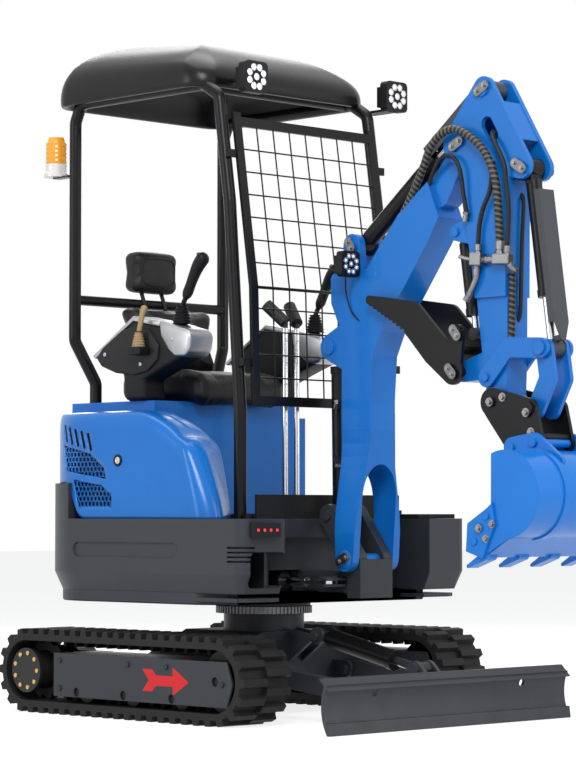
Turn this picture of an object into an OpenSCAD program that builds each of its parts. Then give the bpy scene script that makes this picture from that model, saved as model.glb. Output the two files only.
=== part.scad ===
// Mini excavator with canopy, dozer blade, swing boom, bucket on a quick hitch and a thumb.
// Millimetres; X forward, Y left, Z up; the origin is on the ground under the slew axis.

/* [Undercarriage] */
// width over both tracks
over_w = 1080; // [900:5:1300]
// width of one track
track_w = 200; // [150:5:260]
// height of a track to its lug tips
track_h = 270; // [230:5:330]
// sprocket axle behind the slew axis
sprocket_back = 556; // [480:2:640]
// idler axle ahead of the slew axis
idler_ahead = 340; // [280:2:420]
// height of a track lug
lug_h = 18; // [10:1:30]
// thickness of the track belt
belt_t = 20; // [12:1:30]
// lugs along one straight run
lug_n = 17; // [10:1:24]
// radius of the slew ring
slew_r = 156; // [120:2:200]
// height of the top of the slew ring
slew_top = 345; // [320:1:380]

/* [Blade] */
// front of the blade ahead of the slew axis
blade_ahead = 835; // [760:5:920]
// height of the blade
blade_h = 165; // [120:5:240]
// thickness of the mouldboard
blade_t = 10; // [6:1:16]
// blade hinge ahead of the slew axis
blade_hinge_ahead = 205; // [160:5:260]
// height of the blade hinge
blade_hinge_z = 142; // [110:2:180]
// blade arm away from the middle
blade_arm_out = 200; // [150:5:250]

/* [House] */
// width of the house
house_w = 1020; // [860:10:1200]
// house front ahead of the slew axis
house_front = 430; // [380:5:500]
// house tail behind the slew axis
house_tail = 603; // [540:5:680]
// radius of the tail corners
tail_r = 250; // [120:5:320]
// underside of the deck plate
deck_z = 373; // [365:1:400]
// top of the grey skirt
skirt_top = 626; // [560:2:700]
// top of the counterweight
weight_top = 740; // [680:5:820]
// top of the blue covers
cover_top = 970; // [900:5:1040]
// wall of the covers
cover_t = 6; // [3:1:12]
// width of the open middle at the front
well_w = 650; // [560:10:720]

/* [Canopy] */
// distance between the middles of the side tubes
canopy_w = 670; // [560:10:800]
// radius of the canopy tubes
tube_r = 20; // [12:1:28]
// height of the side rails
rail_z = 2000; // [1850:10:2150]
// rear posts behind the slew axis
post_back = 556; // [500:5:600]
// width of the roof
roof_w = 780; // [680:10:900]
// roof front ahead of the slew axis
roof_front = 118; // [60:5:220]
// roof tail behind the slew axis
roof_tail = 631; // [590:5:700]
// top of the roof
roof_top = 2215; // [2120:5:2300]

/* [Boom] */
// swing axis ahead of the slew axis
swing_ahead = 400; // [370:5:440]
// boom foot pin ahead of the swing axis
foot_ahead = 65; // [50:1:100]
// height of the boom foot pin
foot_z = 500; // [490:1:540]
// arm pivot ahead of the boom foot
boom_run = 433; // [380:5:520]
// arm pivot above the boom foot
boom_rise = 1255; // [1150:5:1400]
// width of the boom box
boom_w = 110; // [90:2:130]

/* [Arm] */
// end pin ahead of the arm pivot
arm_run = 148; // [110:2:190]
// end pin below the arm pivot
arm_drop = 783; // [700:5:880]
// width of the arm box
arm_w = 110; // [96:2:130]

/* [Bucket] */
// width of the bucket
bucket_w = 470; // [360:5:560]
// plate of the bucket
bucket_t = 10; // [6:1:16]
// how far the bucket stands open from its drawn pose
bucket_open = 5; // [0:1:10]
// teeth on the lip
tooth_n = 4; // [3:1:6]

/* [Hidden] */
$fn = 48;

// gap between parts that do not touch
gap = 0.3;
// radial play of a pin in its bore
play = 0.05;
// fine joint between the lengths of a bent tube
joint = 0.05;
// overlap that welds two shapes of one piece
weld = 1;

blue = "#1f6fd0";
grey = "#43474e";
black = "#18191b";
chrome = "#c9ccd0";
silver = "#9aa0a6";
amber = "#f08a1c";
red = "#c22a2a";

// track
track_y = (over_w - track_w) / 2;
track_r = track_h / 2;
belt_r = track_r - lug_h;
loop_r = belt_r - belt_t;
run_l = sprocket_back + idler_ahead;
lug_pitch = run_l / lug_n;
arc_n = round(180 * belt_r / (lug_pitch * 180 / PI));
lug_base_share = 0.56;
lug_tip_share = 0.42;
horn_w = 40;
horn_h = 20;
horn_share = 0.4;

// side frames and car body
plate_t = 8;
side_in = 12;
frame_out = over_w / 2 - plate_t;
frame_in = over_w / 2 - track_w + side_in;
frame_top = 196;
frame_low = 58;
frame_rear = 420;
frame_front = 392;
frame_nose = 24;
plate_bolts = [[-390, 172], [-390, 84], [-60, 172], [120, 172], [372, 128]];
plate_bolt_r = 9;
plate_bolt_t = 5;
hub_bolt_n = 9;
hub_bolt_r = 7;
hub_bolt_out = 56;
hub_bolt_t = 3;
motor_r = 80;
motor_l = 70;
hub_r = 62;
cap_r = 72;
cap_t = 12;
body_rear = 210;
body_front = 150;
body_low = 84;
body_side_top = 176;
body_top = 268;
body_waist = 150;
pedestal_r = 130;
pedestal_top = 322;
roller_r = 36;
roller_w = 30;
roller_n = 3;
axle_r = 14;
axle_l = 2 * (track_y - frame_in - 2 * weld);
sprocket_w = 26;
sprocket_teeth = 11;
tooth_deep = 12;
tooth_r = 16.8;
ring_t = 24;
ring_teeth = 72;
ring_tooth = 5;

// blade
blade_hinge = [blade_hinge_ahead, blade_hinge_z];
blade_pin_r = 14;
blade_eye_r = 28;
blade_arm_w = 40;
blade_arm_h = 56;
blade_ear_t = 14;
blade_lip = 36;
blade_belly = 26;
blade_base = [276, 256];
blade_eye_back = 138;
blade_eye = [blade_ahead - blade_eye_back, blade_h];
blade_bore_r = 24;
blade_tube_r = 30;
blade_rod_r = 14;
blade_cyl_w = 44;
blade_tube_l = 318;
blade_bracket_t = 14;
blade_back = 92;
blade_hole_out = 330;
blade_hole_z = 118;
blade_hole_r = 12;

// house
house_y = house_w / 2;
deck_t = 12;
skirt_low = 398;
skirt_crease = 456;
skirt_cham = 26;
skirt_t = 26;
weight_t = 110;
front_r = 46;
cover_in = 14;
cover_front_in = 12;
well_y = well_w / 2;
well_back = 212;
weight_ahead = 380;
cover_rear = weight_ahead - gap;
cover_front = 264;
cover_nose_r = 60;
cover_slope = 22;
cover_edge_r = 20;
cover_step_x = 190;
cover_step_z = 880;
cover_ridge_x = 31;
hood_y = well_y;
hood_t = 8;
hood_top = 969.5;
hood_low = 740.6;
hood_gap = 6;
left_front = 310;
seat_front = 170;
floor_t = 14;
floor_z = 640;
floor_front = 296;
engine_l = 265;
engine_w = 420;
engine_h = 460;
engine_back = 455;
turret_h = 26;
turret_gap = 2;

swing_pin_r = 18;
lug_r = 46;
lug_t = 16;
lug_root_r = 60;
swing_low_z = 396;
swing_high_z = 445;

// driver's place
seat_z = 1006;
seat_w = 440;
pan_l = 420;
pan_t = 100;
pan_back = 490;
back_h = 300;
back_t = 90;
back_lean = 14;
back_r = 40;
head_w = 215;
head_h = 150;
head_t = 90;
head_z = 1384;
head_r = 36;
console_y = 300;
console_w = 110;
stick_r = 9;
grip_r = 20;
boot_r = 36;

// canopy
canopy_y = canopy_w / 2;
bend_r = 70;
roof_y = roof_w / 2;
roof_rim_z = 1986;
roof_h = roof_top - roof_rim_z;
roof_side_shares = [[0, 0], [0, 0.454], [0.095, 0.803], [0.308, 1], [0.509, 1], [1, 0.498], [1, 0]];
roof_end_shares = [[1, 0], [1, 0.41], [0.846, 0.629], [0.615, 1]];
roof_t = 12;
roof_r = 96;
mesh_y = 318;
mesh_pitch = 72;
wire_r = 2.5;
mesh_bar_w = 30;
mesh_bar_t = 12;
wire_back_share = 0.25;
wire_front_share = 0.75;
lamp_s = 100;
lamp_t = 60;
beacon_r = 41;
beacon_h = 120;

// boom and its pins
swing_x = swing_ahead;
foot = [swing_ahead + foot_ahead, foot_z];
arm_pin = foot + [boom_run, boom_rise];
end_pin = arm_pin + [arm_run, -arm_drop];
boom_y = boom_w / 2;
arm_y = arm_w / 2;
pin_r = 16;
small_pin_r = 13;
head_extra = 8;
head_t_pin = 8;
boom_base_share = [-0.238, 0.108];
boom_eye_share = [-0.256, 0.530];
arm_base_share = [-0.030, 0.781];
boom_base = foot + [boom_run * boom_base_share[0], boom_rise * boom_base_share[1]];
boom_eye = foot + [boom_run * boom_eye_share[0], boom_rise * boom_eye_share[1]];
arm_base = foot + [boom_run * arm_base_share[0], boom_rise * arm_base_share[1]];
arm_eye_share = [0.689, -0.2005];
bucket_base_share = [1.676, 0.112];
lever_pin_share = [0.777, 0.904];
thumb_pin_share = [0.061, 0.879];
thumb_base_share = [-0.108, 0.338];
thumb_eye_share = [0.189, 0.732];
rod_pin_share = [2.189, 0.803];
hitch_pin_share = [1.953, 1.045];
function on_arm(s) = arm_pin + [arm_run * s[0], -arm_drop * s[1]];
function turn(p, c, a) = c + [(p[0] - c[0]) * cos(a) - (p[1] - c[1]) * sin(a),
                              (p[0] - c[0]) * sin(a) + (p[1] - c[1]) * cos(a)];
arm_eye = on_arm(arm_eye_share);
bucket_base = on_arm(bucket_base_share);
lever_pin = on_arm(lever_pin_share);
rod_pin = on_arm(rod_pin_share);
thumb_pin = on_arm(thumb_pin_share);
thumb_base = on_arm(thumb_base_share);
thumb_eye = on_arm(thumb_eye_share);
hitch_pin = turn(on_arm(hitch_pin_share), end_pin, bucket_open);

boom_back_shares = [[-0.111, 0.200], [-0.134, 0.300], [-0.134, 0.378], [-0.129, 0.560], [-0.238, 0.640],
  [-0.243, 0.703], [-0.219, 0.713], [0.122, 0.720]];
boom_top_shares = [[0.427, 0.845], [0.711, 0.918]];
tip_root_share = [0.774, 0.890];
tip_root_r = 46;
boom_low_shares = [[0.818, 0.829], [0.714, 0.771], [0.259, 0.560], [0.180, 0.503], [0.155, 0.383], [0.162, 0.222]];
arm_root_share = [-0.020, 0.690];
fork_shares = [[0.162, 0.260], [-0.130, 0.260]];
tip_half_w = 34;
fork_in = 75;
fork_t = 28;
fork_r = 38;
fork_root_share = [0.02, 0.175];
fork_foot_shares = [[-0.115, 0.09], [0.115, 0.09]];
fork_web_shares = [[-0.118, 0.175], [0.162, 0.175]];
eye_root_share = [-0.05, 0.530];
tip_r = 31;
ear_r = 40;
ear_in = 30;
ear_cut = 4;
post_in = 38;
post_out = fork_in - 3 * weld;
post_ear_r = 36;
boom_tube_r = 34;
boom_bore_r = 27;
boom_rod_r = 17;
boom_tube_l = 470;
cyl_eye_w = 50;
arm_tube_r = 28;
arm_bore_r = 22;
arm_rod_r = 14;
arm_tube_l = 405;
bucket_tube_r = 24;
bucket_bore_r = 18;
bucket_rod_r = 13;
bucket_tube_l = 392;
thumb_tube_r = 24;
thumb_bore_r = 18;
thumb_rod_r = 11;
thumb_tube_l = 255;
thumb_cyl_w = 36;
eye_r = 28;
thumb_eye_r = 20;
cap_l = 22;
piston_l = 11;
blade_rod_in = 159;
boom_rod_in = 90;
arm_rod_in = 328;
bucket_rod_in = 170;
thumb_rod_in = 66;
guard_t = 3;
guard_foot = 17;
guard_tip = 10;
arm_guard_reach = 300;
arm_guard_start = 60;
arm_guard_half = 35.5;
arm_guard_top = 38;
arm_guard_drop = 38;
bucket_guard_reach = 470;
bucket_guard_start = 72;
bucket_guard_half = 32.5;
bucket_guard_top = 42;
bucket_guard_drop = 20;

arm_front_shares = [[1.46, 0.075], [1.310, 0.230], [1.290, 0.325], [1.264, 0.830], [1.230, 0.985]];
arm_rear_shares = [[0.740, 1.0], [0.601, 0.825], [0.372, 0.476], [0.135, 0.235], [0.0, 0.070]];
arm_head_shares = [[0.35, -0.242], [0.108, -0.060]];
arm_neck_share = 0.155;
arm_end_y = 45;
arm_end_share = 0.60;
cheek_t = 17;
arm_pivot_r = 58;
arm_eye_r = 38;
end_r = 42;
lever_in = 47;
lever_t = 12;
lever_r = 30;
lever_rise = 46;
link_in = 28;
link_t = 14;
link_r = 30;
link_bulge = 30;
hitch_in = 62;
hitch_t = 12;
hook_r = 20;
hitch_web_share = 0.1667;
hitch_web_r = 14;
thumb_in = 80;
thumb_t = 12;
thumb_bracket_y = 44;
thumb_boss_r = 30;
thumb_root_r = 40;
thumb_seat_r = 26;
thumb_root_share = [0.62, 0.86];
thumb_seat_share = [0.3, 0.338];
head_plate_shares = [0.25, 0.74];
head_plate_t = 5;
head_hole_share = [0.872, -0.04];
head_hole_r = 22;

// bucket, as shares of its height and depth below the end pin
bucket_drop = 485;
bucket_depth = 292;
bucket_y = bucket_w / 2;
bucket_pin_shares = [[0.281, 0.297], [0.572, 0.287]];
bucket_round_share = [0.572, 0.598];
bucket_round_r = 128;
bucket_top_share = [0.4315, 0.3505];
bucket_mid_share = [0.3836, 0.6536];
bucket_lip_share = [0.2466, 0.9485];
bucket_tip_share = [0.023, 1];
bucket_heel_share = 0.7;
cutter_shares = [[0.424, 0.640], [0.346, 0.670], [0.082, 0.746], [0.038, 0.911], [0.247, 0.963], [0.440, 0.770]];
cutter_bolt_shares = [[0.345, 0.715], [0.250, 0.785], [0.165, 0.860]];
cutter_t = 8;
cutter_bolt_r = 10;
cutter_bolt_t = 6;
bucket_rib_in = 96;
bucket_rib_w = 26;
bucket_rib_t = 5;
bucket_ear_in = 78;
bucket_ear_t = 14;
tooth_l = 92;
tooth_w = 46;
tooth_t = 26;
function on_bucket(s) = end_pin + [bucket_depth * s[0], -bucket_drop * s[1]];

// swing cylinder, seen from above
swing_base = [-140, -120];
swing_eye_back = 16;
swing_eye_out = 90;
swing_eye = [swing_ahead - swing_eye_back, -swing_eye_out];
swing_z = 428;
swing_tube_r = 28;
swing_bore_r = 22;
swing_rod_r = 14;
swing_tube_l = 340;
swing_tongue = 90;
swing_tongue_t = 10;
swing_back = 150;
swing_cyl_w = 30;
swing_arm_t = 8;
swing_eye_r = 24;

// helpers
module side(y, t) {
  translate([0, y + t / 2, 0]) rotate([90, 0, 0]) linear_extrude(t) children();
}
module pair(inner, t) {
  for (s = [-1, 1]) side(s * (inner + t / 2), t) children();
}
module pin_y(p, r, half) {
  translate([p[0], half, p[1]]) rotate([90, 0, 0]) cylinder(h = 2 * half, r = r);
}
module disc(p, r) { translate(p) circle(r); }
// two circles joined by their tangents
module bar2d(a, b, ra, rb) {
  d = norm(b - a);
  u = (b - a) / d;
  s = (ra - rb) / d;
  c = sqrt(1 - s * s);
  n1 = [u[0] * s - u[1] * c, u[1] * s + u[0] * c];
  n2 = [u[0] * s + u[1] * c, u[1] * s - u[0] * c];
  disc(a, ra);
  disc(b, rb);
  polygon([a + n1 * ra, b + n1 * rb, b + n2 * rb, a + n2 * ra]);
}
module rbox2d(w, h, r) {
  square([w - 2 * r, h], center = true);
  square([w, h - 2 * r], center = true);
  for (x = [-1, 1], y = [-1, 1]) translate([x * (w / 2 - r), y * (h / 2 - r)]) circle(r);
}
function unit(v) = v / norm(v);
function bend_cut(a, b, c, r) = let (d = unit(b - a), e = unit(c - b)) r * tan(acos(min(1, d * e)) / 2);
module rod3(a, b, r) {
  d = b - a;
  translate(a) rotate([0, acos(d[2] / norm(d)), atan2(d[1], d[0])]) cylinder(h = norm(d), r = r);
}
// a bent tube through points, made of straight lengths and elbows that meet at fine joints
module tube(pts, r, bend) {
  n = len(pts);
  cuts = [for (i = [0 : n - 1]) (i == 0 || i == n - 1) ? 0 : bend_cut(pts[i - 1], pts[i], pts[i + 1], bend) + joint];
  for (i = [0 : n - 2]) {
    d = unit(pts[i + 1] - pts[i]);
    rod3(pts[i] + d * cuts[i], pts[i + 1] - d * cuts[i + 1], r);
  }
  for (i = [1 : n - 2]) {
    d = unit(pts[i] - pts[i - 1]);
    e = unit(pts[i + 1] - pts[i]);
    m = unit(e - d * (d * e));
    o = pts[i] - d * (cuts[i] - joint) + m * bend;
    z = cross(-m, d);
    multmatrix([[-m[0], d[0], z[0], o[0]], [-m[1], d[1], z[1], o[1]], [-m[2], d[2], z[2], o[2]], [0, 0, 0, 1]])
      rotate_extrude(angle = acos(min(1, d * e))) translate([bend, 0]) circle(r);
  }
}
// places a cylinder drawn along X at a pin of the XZ plane, pointing at another pin
module aim(p, q) {
  translate([p[0], 0, p[1]]) rotate([0, -atan2(q[1] - p[1], q[0] - p[0]), 0]) children();
}
module along(l, r) { rotate([0, 90, 0]) cylinder(h = l, r = r); }
// the barrel of a ram: eye, neck, tube with its bore, gland
module barrel(l, r, bore, rod, eye, w, pin) {
  difference() {
    union() {
      pin_y([0, 0], eye, w / 2);
      translate([0, -w / 2, -r / 2]) cube([eye + cap_l, w, r]);
      translate([eye + cap_l / 2, 0, 0]) along(l - eye - cap_l / 2, r);
      translate([l - cap_l, 0, 0]) along(cap_l, r + cap_l / 8);
    }
    pin_y([0, 0], pin + play, w);
    translate([eye + cap_l, 0, 0]) along(l - eye - cap_l - piston_l, bore);
    translate([eye + cap_l, 0, 0]) along(l, rod + play);
  }
}
// the rod of a ram, from inside the tube to its eye
module ram_rod(l, back, rod, bore, eye, w) {
  translate([l - back, 0, 0]) along(back, rod);
  translate([l - back, 0, 0]) along(piston_l, bore - play);
  translate([l, 0, 0]) pin_y([0, 0], eye, w / 2);
}
// a folded guard over a ram, carried by the eye of its rod
module guard(l, reach, start, half, top, drop, rod) {
  translate([0, 0, top]) linear_extrude(guard_t) polygon([[l - reach, -half], [l - start, -half],
    [l - guard_foot, -guard_tip], [l - guard_foot, guard_tip], [l - start, half], [l - reach, half]]);
  for (s = [-1, 1]) translate([l - reach, s > 0 ? half - guard_t : -half, top - drop])
    cube([reach - start, guard_t, drop + weld]);
  translate([l - 2 * guard_foot, -guard_tip + weld, rod - weld])
    cube([guard_foot, 2 * guard_tip - 2 * weld, top + weld - rod + weld]);
}

// undercarriage
module loop2d(r) { bar2d([-sprocket_back, track_r], [idler_ahead, track_r], r, r); }
module lug2d(sign) {
  b = lug_pitch * lug_base_share;
  t = lug_pitch * lug_tip_share;
  polygon([[-b / 2, -weld], [b / 2, -weld], [t / 2, lug_h], [-t / 2, lug_h]]);
}
module belt2d(shift) {
  difference() {
    union() {
      loop2d(belt_r);
      for (i = [0 : lug_n - (shift > 0 ? 1 : 0)]) {
        x = -sprocket_back + lug_pitch * (i + shift);
        translate([x, track_r + belt_r]) lug2d();
        translate([x, track_r - belt_r]) rotate(180) lug2d();
      }
      for (j = [(shift > 0 ? 0 : 1) : arc_n - 1]) {
        a = 180 * (j + shift) / arc_n;
        translate([idler_ahead, track_r]) rotate(-a) translate([0, belt_r]) lug2d();
        translate([-sprocket_back, track_r]) rotate(180 - a) translate([0, belt_r]) lug2d();
      }
    }
    loop2d(loop_r);
  }
}
module horns2d() {
  for (i = [2 : lug_n - 1]) {
    x = -sprocket_back + lug_pitch * i;
    for (s = [-1, 1]) translate([x, track_r + s * loop_r]) {
      polygon([[-lug_pitch * horn_share / 2, s * weld], [lug_pitch * horn_share / 2, s * weld],
        [lug_pitch * horn_share / 4, -s * horn_h], [-lug_pitch * horn_share / 4, -s * horn_h]]);
    }
  }
}
module track(s) color(black) {
  side(s * (track_y + track_w / 4), track_w / 2) belt2d(0.5);
  side(s * (track_y - track_w / 4), track_w / 2) belt2d(0);
  side(s * track_y, horn_w) horns2d();
}
module track_right() track(-1);
module track_left() track(1);

module side_plate2d(back) {
  m = (frame_low + frame_top) / 2;
  polygon([[-back, frame_low], [frame_front, frame_low], [frame_front + frame_nose, m],
    [frame_front, frame_top], [-back, frame_top]]);
}
module motor_tail2d() {
  disc([-sprocket_back, track_r], motor_r);
  translate([-sprocket_back, track_r - hub_r]) square([sprocket_back - frame_rear + motor_r, 2 * hub_r]);
}
module side_frame(s) {
  difference() {
    union() {
      side(s * (frame_out - plate_t / 2), plate_t) side_plate2d(frame_rear);
      side(s * (frame_out + plate_bolt_t / 2 - weld / 2), plate_bolt_t + weld) for (p = plate_bolts) disc(p, plate_bolt_r);
      side(s * (frame_in + plate_t / 2), plate_t) { side_plate2d(frame_rear); motor_tail2d(); }
      translate([-frame_rear, s > 0 ? frame_in : -frame_out, frame_top - plate_t])
        cube([frame_rear + idler_ahead - loop_r - plate_t, frame_out - frame_in, plate_t]);
      translate([-frame_rear, s > 0 ? frame_in : -frame_out, frame_low])
        cube([plate_t, frame_out - frame_in, frame_top - frame_low]);
      translate([-sprocket_back, s * frame_in, track_r]) rotate([s * 90, 0, 0]) cylinder(h = motor_l, r = motor_r - 2 * weld);
    }
    translate([idler_ahead, 0, track_r]) rotate([90, 0, 0]) cylinder(h = 2 * over_w, r = axle_r + gap, center = true);
    for (i = [0 : roller_n - 1]) translate([roller_x(i), 0, roller_z]) rotate([90, 0, 0])
      cylinder(h = 2 * over_w, r = axle_r + gap, center = true);
  }
}
function roller_x(i) = -frame_rear + (frame_rear + frame_front) * (i + 0.5) / (roller_n + 0.6);
roller_z = track_r - loop_r + roller_r + gap;
module track_frame() color(grey) {
  for (s = [-1, 1]) side_frame(s);
  difference() {
    union() {
      translate([-body_rear, 0, 0]) rotate([90, 0, 90]) linear_extrude(body_rear + body_front)
        polygon([[-frame_in - weld, body_low], [frame_in + weld, body_low], [frame_in + weld, body_side_top],
          [body_waist, body_top], [-body_waist, body_top], [-frame_in - weld, body_side_top]]);
      translate([0, 0, body_top - weld]) cylinder(h = pedestal_top - body_top + weld, r = pedestal_r);
      for (s = [-1, 1], t = [-1, 1])
        side(s * blade_arm_out + t * (blade_arm_w / 2 + blade_ear_t / 2 + weld), blade_ear_t)
          bar2d([body_front - 2 * blade_eye_r, blade_hinge[1]], blade_hinge, blade_eye_r, blade_eye_r);
      for (s = [-1, 1]) translate([blade_hinge[0], s * blade_arm_out, blade_hinge[1]]) rotate([90, 0, 0])
        cylinder(h = blade_arm_w + 4 * blade_ear_t, r = blade_pin_r, center = true);
      pair(blade_cyl_w / 2 + weld, blade_bracket_t) {
        polygon([[0, body_waist], [body_front - blade_eye_r, body_waist], blade_base, [0, body_top + blade_eye_r]]);
        disc(blade_base, blade_eye_r);
      }
      pin_y(blade_base, blade_pin_r, blade_cyl_w / 2 + 2 * blade_bracket_t);
    }
  }
}
module sprockets() color(black) for (s = [-1, 1]) translate([-sprocket_back, 0, track_r]) {
  translate([0, s * track_y, 0]) rotate([90, 0, 0]) linear_extrude(sprocket_w, center = true) difference() {
    circle(loop_r - gap);
    for (i = [0 : sprocket_teeth - 1]) rotate(i * 360 / sprocket_teeth)
      translate([loop_r + tooth_deep / 2, 0]) circle(tooth_r);
  }
  translate([0, s * (frame_in + plate_t + gap), 0]) rotate([-s * 90, 0, 0])
    cylinder(h = frame_out - frame_in - 2 * plate_t, r = hub_r);
  translate([0, s * (frame_out - plate_t), 0]) rotate([-s * 90, 0, 0]) {
    cylinder(h = cap_t, r = cap_r);
    for (i = [0 : hub_bolt_n - 1]) rotate(i * 360 / hub_bolt_n) translate([hub_bolt_out, 0, cap_t - weld])
      cylinder(h = hub_bolt_t + weld, r = hub_bolt_r);
  }
}
module idlers() color(black) for (s = [-1, 1]) translate([idler_ahead, s * track_y, track_r]) rotate([90, 0, 0]) {
  for (t = [-1, 1]) translate([0, 0, t * (horn_w + roller_w) / 2])
    cylinder(h = roller_w - 2 * weld, r = loop_r - gap, center = true);
  cylinder(h = horn_w + 2 * weld + roller_w, r = loop_r - horn_h - lug_h, center = true);
  cylinder(h = axle_l, r = axle_r, center = true);
}
module rollers() color(black) for (s = [-1, 1], i = [0 : roller_n - 1])
  translate([roller_x(i), s * track_y, roller_z]) rotate([90, 0, 0]) {
    for (t = [-1, 1]) translate([0, 0, t * (horn_w + roller_w) / 2])
      cylinder(h = roller_w - 2 * weld, r = roller_r, center = true);
    cylinder(h = axle_l, r = axle_r, center = true);
  }
module slew_ring() color(grey) translate([0, 0, pedestal_top + gap]) difference() {
  linear_extrude(slew_top - pedestal_top - gap) difference() {
    circle(slew_r);
    for (i = [0 : ring_teeth - 1]) rotate(i * 360 / ring_teeth)
      translate([slew_r, 0]) square([2 * ring_tooth, PI * slew_r / ring_teeth], center = true);
  }
  translate([0, 0, -weld]) cylinder(h = track_h, r = pedestal_r / 2);
}

// blade
module blade_arc2d(r) {
  translate([blade_ahead - blade_belly, blade_h / 2]) circle(r);
}
module blade() color(grey) {
  curve = (blade_h * blade_h / 4 + blade_belly * blade_belly) / (2 * blade_belly);
  front = [blade_ahead - blade_belly + curve, blade_h / 2];
  difference() {
    side(0, over_w) intersection() {
      difference() { disc(front, curve + blade_t); disc(front, curve); }
      translate([blade_ahead - blade_back, 0]) square([blade_back, blade_h - blade_lip / 2]);
    }
    for (s = [-1, 1]) translate([blade_ahead - 2 * blade_back, s * blade_hole_out, blade_hole_z]) along(2 * blade_back, blade_hole_r);
  }
  side(0, over_w) {
    polygon([[blade_ahead - blade_t, blade_h - blade_lip], [blade_ahead, blade_h - blade_lip],
      [blade_ahead - blade_lip, blade_h], [blade_ahead - blade_lip - blade_t, blade_h]]);
    polygon([[blade_ahead - blade_t, 0], [blade_ahead, 0], [blade_ahead - blade_t / 2, blade_lip],
      [blade_ahead - 2 * blade_t, blade_lip]]);
  }
  for (s = [-1, 1]) difference() {
    side(s * blade_arm_out, blade_arm_w)
      bar2d(blade_hinge, [blade_ahead - blade_belly - blade_eye_r, blade_h / 2], blade_eye_r, blade_eye_r);
    translate([blade_hinge[0], 0, blade_hinge[1]]) rotate([90, 0, 0])
      cylinder(h = 2 * over_w, r = blade_pin_r + play, center = true);
  }
  pair(blade_cyl_w / 2 + weld, blade_bracket_t)
    bar2d(blade_eye, [blade_ahead - blade_belly - blade_eye_r, blade_h / 2], blade_eye_r, blade_eye_r);
  pair(blade_cyl_w / 2 + weld + blade_bracket_t, head_t_pin) disc(blade_eye, blade_pin_r + head_extra);
}
blade_len = norm(blade_eye - blade_base);
module blade_barrel() color(black) aim(blade_base, blade_eye)
  barrel(blade_tube_l, blade_tube_r, blade_bore_r, blade_rod_r, blade_eye_r - head_extra / 2, blade_cyl_w, blade_pin_r);
module blade_rod() color(chrome) aim(blade_base, blade_eye)
  ram_rod(blade_len, blade_len - blade_rod_in, blade_rod_r, blade_bore_r, blade_eye_r - head_extra / 2, blade_cyl_w);

// house
// plan of the house, drawn smaller by a set-in
module plan2d(in) {
  r = tail_r - in;
  f = front_r;
  translate([-house_tail + tail_r, -house_y + in])
    square([house_front + house_tail - tail_r - f, house_w - 2 * in]);
  translate([-house_tail + in, -house_y + tail_r]) square([house_tail, house_w - 2 * tail_r]);
  translate([0, -house_y + in + f]) square([house_front - in, house_w - 2 * in - 2 * f]);
  for (s = [-1, 1]) {
    translate([-house_tail + tail_r, s * (house_y - tail_r)]) circle(r);
    translate([house_front - in - f, s * (house_y - in - f)]) circle(f);
  }
}
module well2d() {
  translate([well_back, -well_y]) square([house_front, well_w]);
}
module deck() color(grey) {
  difference() {
    union() {
      translate([0, 0, deck_z]) linear_extrude(deck_t) difference() { plan2d(skirt_cham + gap); well2d(); }
      translate([0, 0, slew_top + turret_gap]) cylinder(h = turret_h + weld, r = slew_r - ring_tooth);
      // lugs for the swing pin
      for (z = [swing_low_z, swing_high_z]) translate([0, 0, z]) linear_extrude(lug_t) {
        bar2d([well_back, 0], [swing_x, 0], lug_root_r, lug_r);
      }
      translate([well_back - deck_t, -well_y + gap, deck_z]) cube([deck_t, well_w - 2 * gap, floor_z - floor_t - gap - deck_z]);
      translate([swing_base[0], swing_base[1], deck_z])
        cylinder(h = swing_z - swing_cyl_w / 2 - deck_z - gap, r = swing_eye_r + head_extra);
      translate([swing_base[0], swing_base[1], deck_z]) cylinder(h = swing_z + swing_cyl_w - deck_z, r = swing_pin_r);
    }
    translate([well_back - 2 * deck_t, swing_eye[1] - 2 * swing_eye_r - lug_r, swing_z - swing_tube_r - head_extra])
      cube([4 * deck_t, lug_r + 4 * swing_eye_r, 2 * swing_tube_r + 2 * head_extra]);
    translate([0, 0, slew_top]) cylinder(h = turret_h, r = pedestal_r / 2);
  }
  translate([swing_x, 0, swing_low_z - head_t_pin])
    cylinder(h = swing_high_z + lug_t - swing_low_z + 2 * head_t_pin, r = swing_pin_r);
  translate([swing_x, 0, swing_low_z - head_t_pin]) cylinder(h = head_t_pin, r = swing_pin_r + head_extra);
}
// a ring of the house plan with its lower edge turned in
module skirt_solid(z0, z1) {
  h = skirt_crease - z0;
  translate([0, 0, skirt_crease]) linear_extrude(z1 - skirt_crease) plan2d(0);
  translate([0, 0, z0]) {
    for (s = [-1, 1]) translate([-house_tail + tail_r, s * (house_y - tail_r), 0])
      cylinder(h = h, r1 = tail_r - skirt_cham, r2 = tail_r);
    translate([-house_tail + tail_r, 0, 0]) rotate([90, 0, 90])
      linear_extrude(house_front + house_tail - tail_r - front_r)
        polygon([[-house_y + skirt_cham, 0], [house_y - skirt_cham, 0], [house_y, h], [-house_y, h]]);
    translate([0, house_y - tail_r, 0]) rotate([90, 0, 0]) linear_extrude(house_w - 2 * tail_r)
      polygon([[-house_tail + skirt_cham, 0], [0, 0], [0, h], [-house_tail, h]]);
    for (s = [-1, 1]) translate([house_front - front_r, s * (house_y - front_r), 0])
      cylinder(h = h, r1 = front_r - skirt_cham, r2 = front_r);
    translate([house_front - front_r, house_y - front_r, 0]) rotate([90, 0, 0])
      linear_extrude(house_w - 2 * front_r)
        polygon([[0, 0], [front_r - skirt_cham, 0], [front_r, h], [0, h]]);
  }
}
rib_span = [-331, 123];
rib_z = 528;
rib_r = 23;
rib_deep = 6;
notch_y = 395;
notch_z = 470;
notch_w = 150;
notch_h = 110;
notch_r = 22;
louvre_n = 4;
louvre_z = 494;
louvre_pitch = 14;
louvre_h = 5;
louvre_deep = 14;
louvre_l = 62;
beam_front = 296;
beam_t = 26;
beam_h = 60;
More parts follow.
